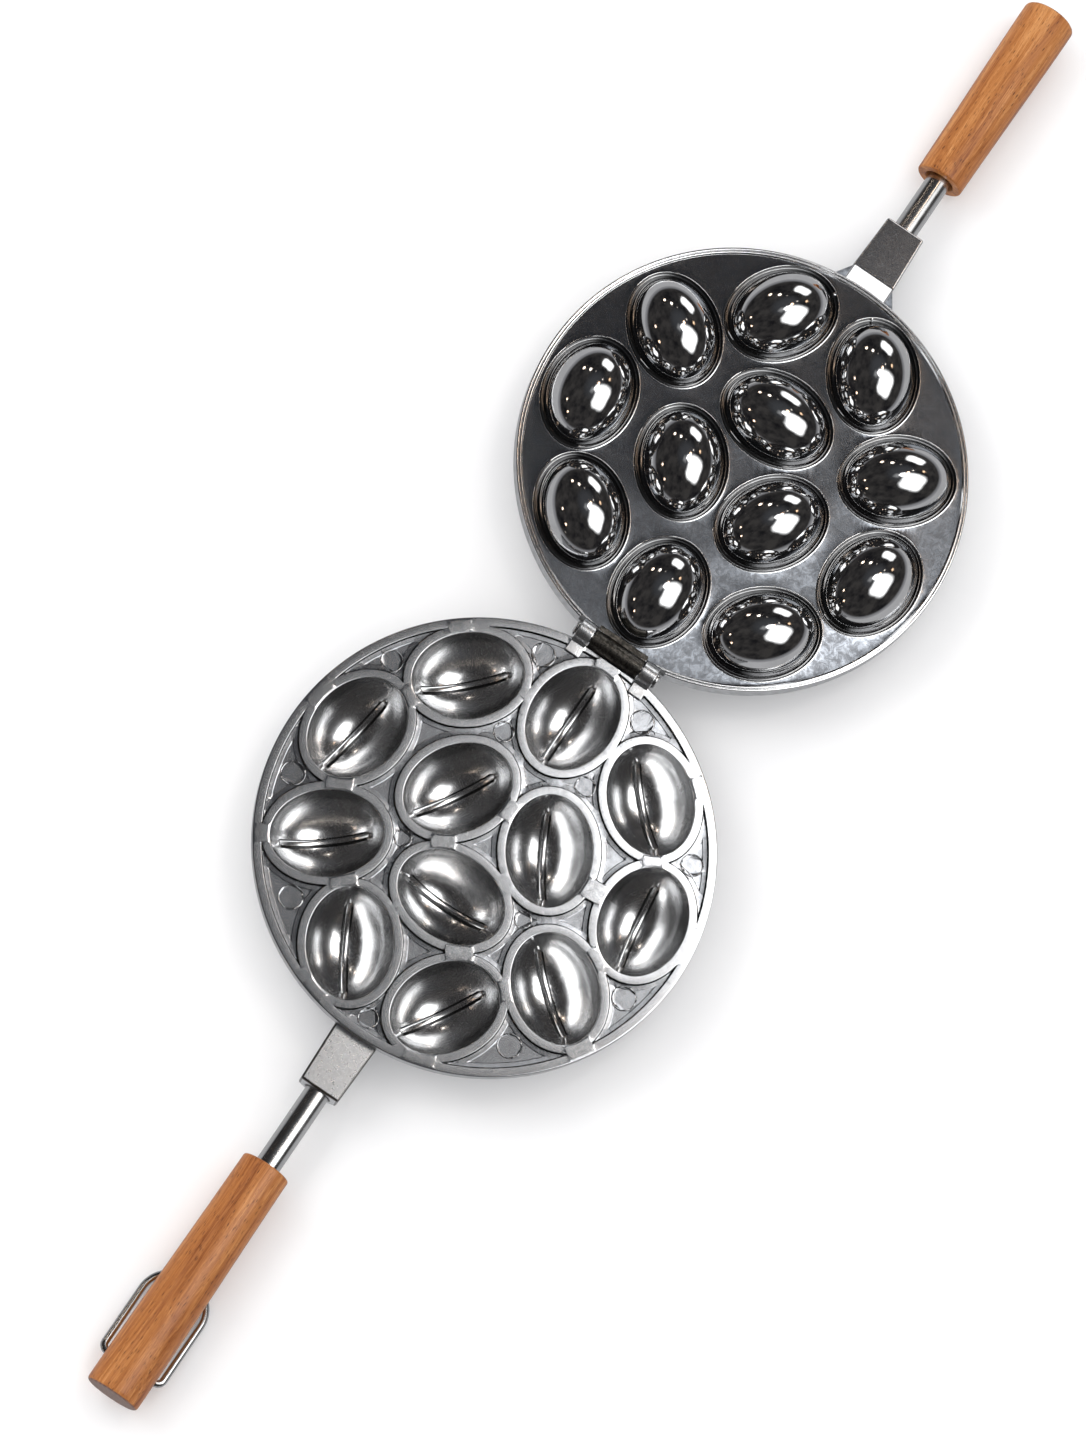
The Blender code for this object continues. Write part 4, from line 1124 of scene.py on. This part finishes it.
def build_loop():
    half = [(0.0, y) for y in np.linspace(LOOP_IN, LOOP_HALF - LOOP_BEND, 5)]
    for i in range(1, 9):
        t = math.radians(90.0 * i / 8)
        half.append((LOOP_BEND - LOOP_BEND * math.cos(t), LOOP_HALF - LOOP_BEND + LOOP_BEND * math.sin(t)))
    half += [(x, LOOP_HALF) for x in np.linspace(LOOP_BEND, LOOP_LEG, 10)[1:]]
    for i in range(1, 17):
        t = math.radians(90.0 * i / 16)
        half.append((LOOP_LEG + LOOP_HALF * math.sin(t), LOOP_HALF * math.cos(t)))
    tip = half.pop()
    path = np.array([(x, -y) for x, y in half] + [(tip[0], 0.0)] + [(x, y) for x, y in reversed(half)])
    tan = np.gradient(path, axis=0)
    tan /= np.linalg.norm(tan, axis=1)[:, None]
    skin = Skin()
    n = 24
    q = 2 * np.pi * np.arange(n) / n
    rot = Matrix.Rotation(LOOP_REST, 3, 'Y')
    rot = np.array(rot)
    at = np.array([HINGE_X - HINGE_OFFSET - LOOP_S, 0.0, PART_Z + LOOP_Z])

    def ring(p, t, r, shift):
        nrm = np.array([-t[1], t[0]])
        pts = [(p[0] + t[0] * shift + nrm[0] * r * math.cos(a), p[1] + t[1] * shift + nrm[1] * r * math.cos(a),
                r * math.sin(a)) for a in q]
        return skin.add(np.array(pts) @ rot.T + at)
    rows = [ring(path[0], tan[0], WIRE_R * k, s) for k, s in ((0.70, 0.0), (0.90, 0.12), (1.0, 0.40))]
    rows += [ring(p, t, WIRE_R, 0.0) for p, t in zip(path[1:-1], tan[1:-1])]
    rows += [ring(path[-1], tan[-1], WIRE_R * k, s) for k, s in ((1.0, -0.40), (0.90, -0.12), (0.70, 0.0))]
    for a, b in zip(rows, rows[1:]):
        skin.strip(a, b, 0)
    skin.fan(rows[0], 0)
    skin.fan(rows[-1], 0)
    return skin.build("locking_loop_wire", [M_WIRE])


# -------------------------------------------------------------------- pieces
def keep(obj, body, node, slot):
    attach(obj, body)
    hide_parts(node)


CX_CAVITY, CX_DOME = HINGE_X - HINGE_OFFSET, HINGE_X + HINGE_OFFSET
keep(build_cavity_plate(), "cavity_half", "cavity_plate", "cast_plate")
keep(build_dome_plate(), "dome_half", "dome_plate", "polished_plate")
keep(build_hinge_pin(), "cavity_half", "hinge_pin", "plated_steel")
keep(build_rod("cavity_rod_plated", CX_CAVITY, -1.0), "cavity_half", "cavity_handle_rod", "plated_steel")
keep(build_rod("dome_rod_plated", CX_DOME, 1.0), "dome_half", "dome_handle_rod", "plated_steel")
keep(build_cross_pin("cavity_cross_pin", CX_CAVITY, -1.0), "cavity_half", "cavity_socket_pin", "plated_steel")
keep(build_cross_pin("dome_cross_pin", CX_DOME, 1.0), "dome_half", "dome_socket_pin", "plated_steel")
grip = build_grip("cavity_grip_beech", CX_CAVITY, -1.0, GRIP_END)
for side in (-1, 1):
    y0, y1 = sorted((side * 4.7, side * 14.0))
    hole = turned([(0, y0), (1.8, y0), (1.8, y1), (0, y1)], 32, 'Y',
                  (CX_CAVITY - LOOP_S, 0, PART_Z + LOOP_Z), [1] * 3)
    cut(grip, hole.build("hole", [M_BEECH, M_END]), 'DIFFERENCE')
finish_plate(grip, 50.0)
keep(grip, "cavity_half", "cavity_handle_grip", "varnished_beech")
keep(build_grip("dome_grip_beech", CX_DOME, 1.0, DOME_GRIP_END), "dome_half", "dome_handle_grip", "varnished_beech")
keep(build_loop(), "loop", "locking_loop", "wire_steel")


# --------------------------------------------------------------------- stage
def build_floor():
    bm = bmesh.new()
    size, steps = 5.0, 8
    grid = [[bm.verts.new((-size + 2 * size * i / steps, -size + 2 * size * j / steps, 0.0))
             for i in range(steps + 1)] for j in range(steps + 1)]
    for j in range(steps):
        for i in range(steps):
            bm.faces.new((grid[j][i], grid[j][i + 1], grid[j + 1][i + 1], grid[j + 1][i]))
    mesh = bpy.data.meshes.new("floor")
    bm.to_mesh(mesh)
    bm.free()
    floor = bpy.data.objects.new("floor", mesh)
    bpy.context.scene.collection.objects.link(floor)
    mat, g, bsdf = new_material("white_paper", 0.0, Roughness=0.9, Specular_IOR_Level=0.1)
    g.put(bsdf.inputs['Base Color'], g.ramp(g.noise(g.place(), 0.02, 3.0), [(0.3, (0.90, 0.90, 0.905)), (0.7, (0.93, 0.93, 0.93))]))
    mesh.materials.append(mat)
    floor.visible_glossy = False       # the metal sees the plain tone of the room below


build_floor()


# -------------------------------------------------------------------- camera
ELEV, TURN, ROLL, FOCAL = 75.0, 88.8, 33.1, 6000.0
SHIFT = (-21.3, 45.4, 2250.0)
e_, a_, r_ = math.radians(ELEV), math.radians(TURN), math.radians(ROLL)
right = np.array([1.0, 0.0, 0.0])
away = np.array([0.0, -math.sin(e_), math.cos(e_)])
up = np.array([0.0, -math.cos(e_), -math.sin(e_)])
x_axis = math.cos(a_) * right + math.sin(a_) * away
VIEW = np.stack([x_axis, np.cross(up, x_axis), up], 1)
VIEW = np.array([[math.cos(r_), -math.sin(r_), 0], [math.sin(r_), math.cos(r_), 0], [0, 0, 1]]) @ VIEW
SIDE, DOWN, AHEAD = VIEW
centre = np.array([CX_CAVITY, 0.0, PART_Z]) - VIEW.T @ np.array(SHIFT)

cam = bpy.data.cameras.new("camera")
cam.sensor_fit = 'VERTICAL'
cam.sensor_height = 36.0
cam.lens = FOCAL * 36.0 / 1448.0
cam.clip_start, cam.clip_end = 0.02, 50.0
camera = bpy.data.objects.new("camera", cam)
bpy.context.scene.collection.objects.link(camera)
basis = Matrix((SIDE, -DOWN, -AHEAD)).transposed().to_4x4()
basis.translation = Vector(centre) * MM
camera.matrix_world = basis
bpy.context.scene.camera = camera


# -------------------------------------------------------------------- lights
def toward(right_deg, up_deg):
    """A direction seen from the mould: degrees right and up from the camera's."""
    a, b = math.radians(right_deg), math.radians(up_deg)
    d = -AHEAD * math.cos(a) * math.cos(b) + SIDE * math.sin(a) * math.cos(b) - DOWN * math.sin(b)
    return Vector(d / np.linalg.norm(d))


def glint(px, py, distance):
    """Where a lamp has to hang, to be seen in the flat faces at that pixel."""
    ray = SIDE * (px - 543.0) / FOCAL + DOWN * (py - 724.0) / FOCAL + AHEAD
    ray = ray / np.linalg.norm(ray)
    hit = centre + ray * ((PART_Z - centre[2]) / ray[2])
    back = ray * np.array([1.0, 1.0, -1.0])
    return Vector(hit) * MM, Vector(back)


def panel(name, direction, distance, size, radiance, colour=(1.0, 1.0, 1.0), size_y=None, target=None,
          fade=0.36):
    light = bpy.data.lights.new(name, 'AREA')
    light.shape = 'RECTANGLE'
    light.size = size
    light.size_y = size_y or size
    light.energy = radiance * math.pi * light.size * light.size_y
    light.color = colour
    # the cloth glows most in the middle and fades unevenly at its edge
    light.use_nodes = True
    lg = Graph(light.node_tree)
    spot = lg.node('ShaderNodeNewGeometry').outputs['Parametric']
    parts = lg.node('ShaderNodeSeparateXYZ', {0: spot})
    dx = lg.math('ABSOLUTE', lg.math('SUBTRACT', parts.outputs[0], 0.5))
    dy = lg.math('ABSOLUTE', lg.math('SUBTRACT', parts.outputs[1], 0.5))
    far = lg.math('POWER', lg.math('ADD', lg.math('POWER', dx, 4.0), lg.math('POWER', dy, 4.0)), 0.25)
    far = lg.math('ADD', far, lg.math('MULTIPLY', lg.math('SUBTRACT', lg.noise(spot, 3.1, 2.0), 0.5), 0.16))
    lg.put(light.node_tree.nodes["Emission"].inputs["Strength"], lg.range(far, fade, 0.50, 1.25, 0.0, smooth=True))
    obj = bpy.data.objects.new(name, light)
    bpy.context.scene.collection.objects.link(obj)
    target = target or Vector((0.02, 0.0, 0.02))
    obj.location = target + direction * distance
    obj.rotation_euler = (-direction).to_track_quat('-Z', 'Y').to_euler()
    return obj


softbox = panel("softbox", toward(39.0, 0.0), 1.5, 1.40, 3.3, fade=0.20)
softbox.visible_diffuse = False
spot_at, spot_dir = glint(775.0, 795.0, 1.2)
panel("low_panel", spot_dir, 1.2, 0.27, 4.2, target=spot_at, fade=0.14)
spot_at, spot_dir = glint(420.0, 880.0, 1.3)
panel("haze_panel", spot_dir, 1.3, 0.34, 0.25, target=spot_at, fade=0.10)
spot_at, spot_dir = glint(915.0, 680.0, 1.2)
panel("rim_panel", spot_dir, 1.2, 0.16, 4.0, target=spot_at, fade=0.10)
key = panel("key", toward(-38.0, 30.0), 1.7, 1.1, 2.4)
key.visible_glossy = False
panel("far_panel", Vector((math.cos(math.radians(27.0)), 0.0, math.sin(math.radians(27.0)))), 1.6, 0.85, 1.6, size_y=0.6)

world = bpy.data.worlds.new("studio")
bpy.context.scene.world = world
world.use_nodes = True
g = Graph(world.node_tree)
background = world.node_tree.nodes["Background"]
direction = g.node('ShaderNodeTexCoord').outputs['Generated']
height = g.vmath('DOT_PRODUCT', direction, (0.0, 0.0, 1.0))
room = g.noise(direction, 2.4, 4.0, 0.6)
dark = g.ramp(room, [(0.38, (0.012, 0.012, 0.014)), (0.62, (0.060, 0.056, 0.054))])
horizon = g.range(height, 0.0, 0.16, 1.0, 0.0, smooth=True)
env = g.blend(horizon, dark, (0.34, 0.34, 0.355, 1.0))
env = g.blend(g.range(height, -0.10, -0.01, 1.0, 0.0, smooth=True), env, (0.56, 0.56, 0.57, 1.0))
overhead = Vector(toward(16.4, 25.0))
dim = g.range(g.vmath('DOT_PRODUCT', direction, tuple(overhead)), 0.86, 0.99, 0.0, 1.0, smooth=True)
env = g.blend(g.math('MULTIPLY', dim, 0.9), env, (0.070, 0.073, 0.080, 1.0))
# warm ceiling lamps, scattered over one part of the room
lamp = g.node('ShaderNodeTexVoronoi', {'Vector': direction, 'Scale': 3.4}, feature='F1')
spot = g.range(lamp.outputs['Distance'], 0.125, 0.185, 1.0, 0.0)
left = Vector(toward(-35.0, 35.0))
zone = g.range(g.vmath('DOT_PRODUCT', direction, tuple(left)), 0.10, 0.35)
spot = g.math('MULTIPLY', g.math('MULTIPLY', spot, zone), g.range(height, 0.2, 0.35))
warm = g.blend(g.node('ShaderNodeSeparateColor', {0: lamp.outputs['Color']}).outputs[0],
               (1.0, 0.62, 0.34, 1.0), (1.0, 0.95, 0.88, 1.0))
lamps = g.node('ShaderNodeVectorMath', {0: warm, 3: g.math('MULTIPLY', spot, 7.0)}, operation='SCALE').outputs[0]
env = g.vmath('ADD', env, lamps)
path = g.node('ShaderNodeLightPath')
soft = g.blend(path.outputs['Is Diffuse Ray'], env, (1.06, 1.06, 1.07, 1.0))
seen = g.blend(path.outputs['Is Camera Ray'], soft, (1.0, 1.0, 1.0, 1.0))
g.put(background.inputs['Color'], seen)
background.inputs['Strength'].default_value = 1.0

view = bpy.context.scene.view_settings
view.view_transform = 'Standard'
view.look = 'None'
view.exposure = 0.0
view.gamma = 1.0
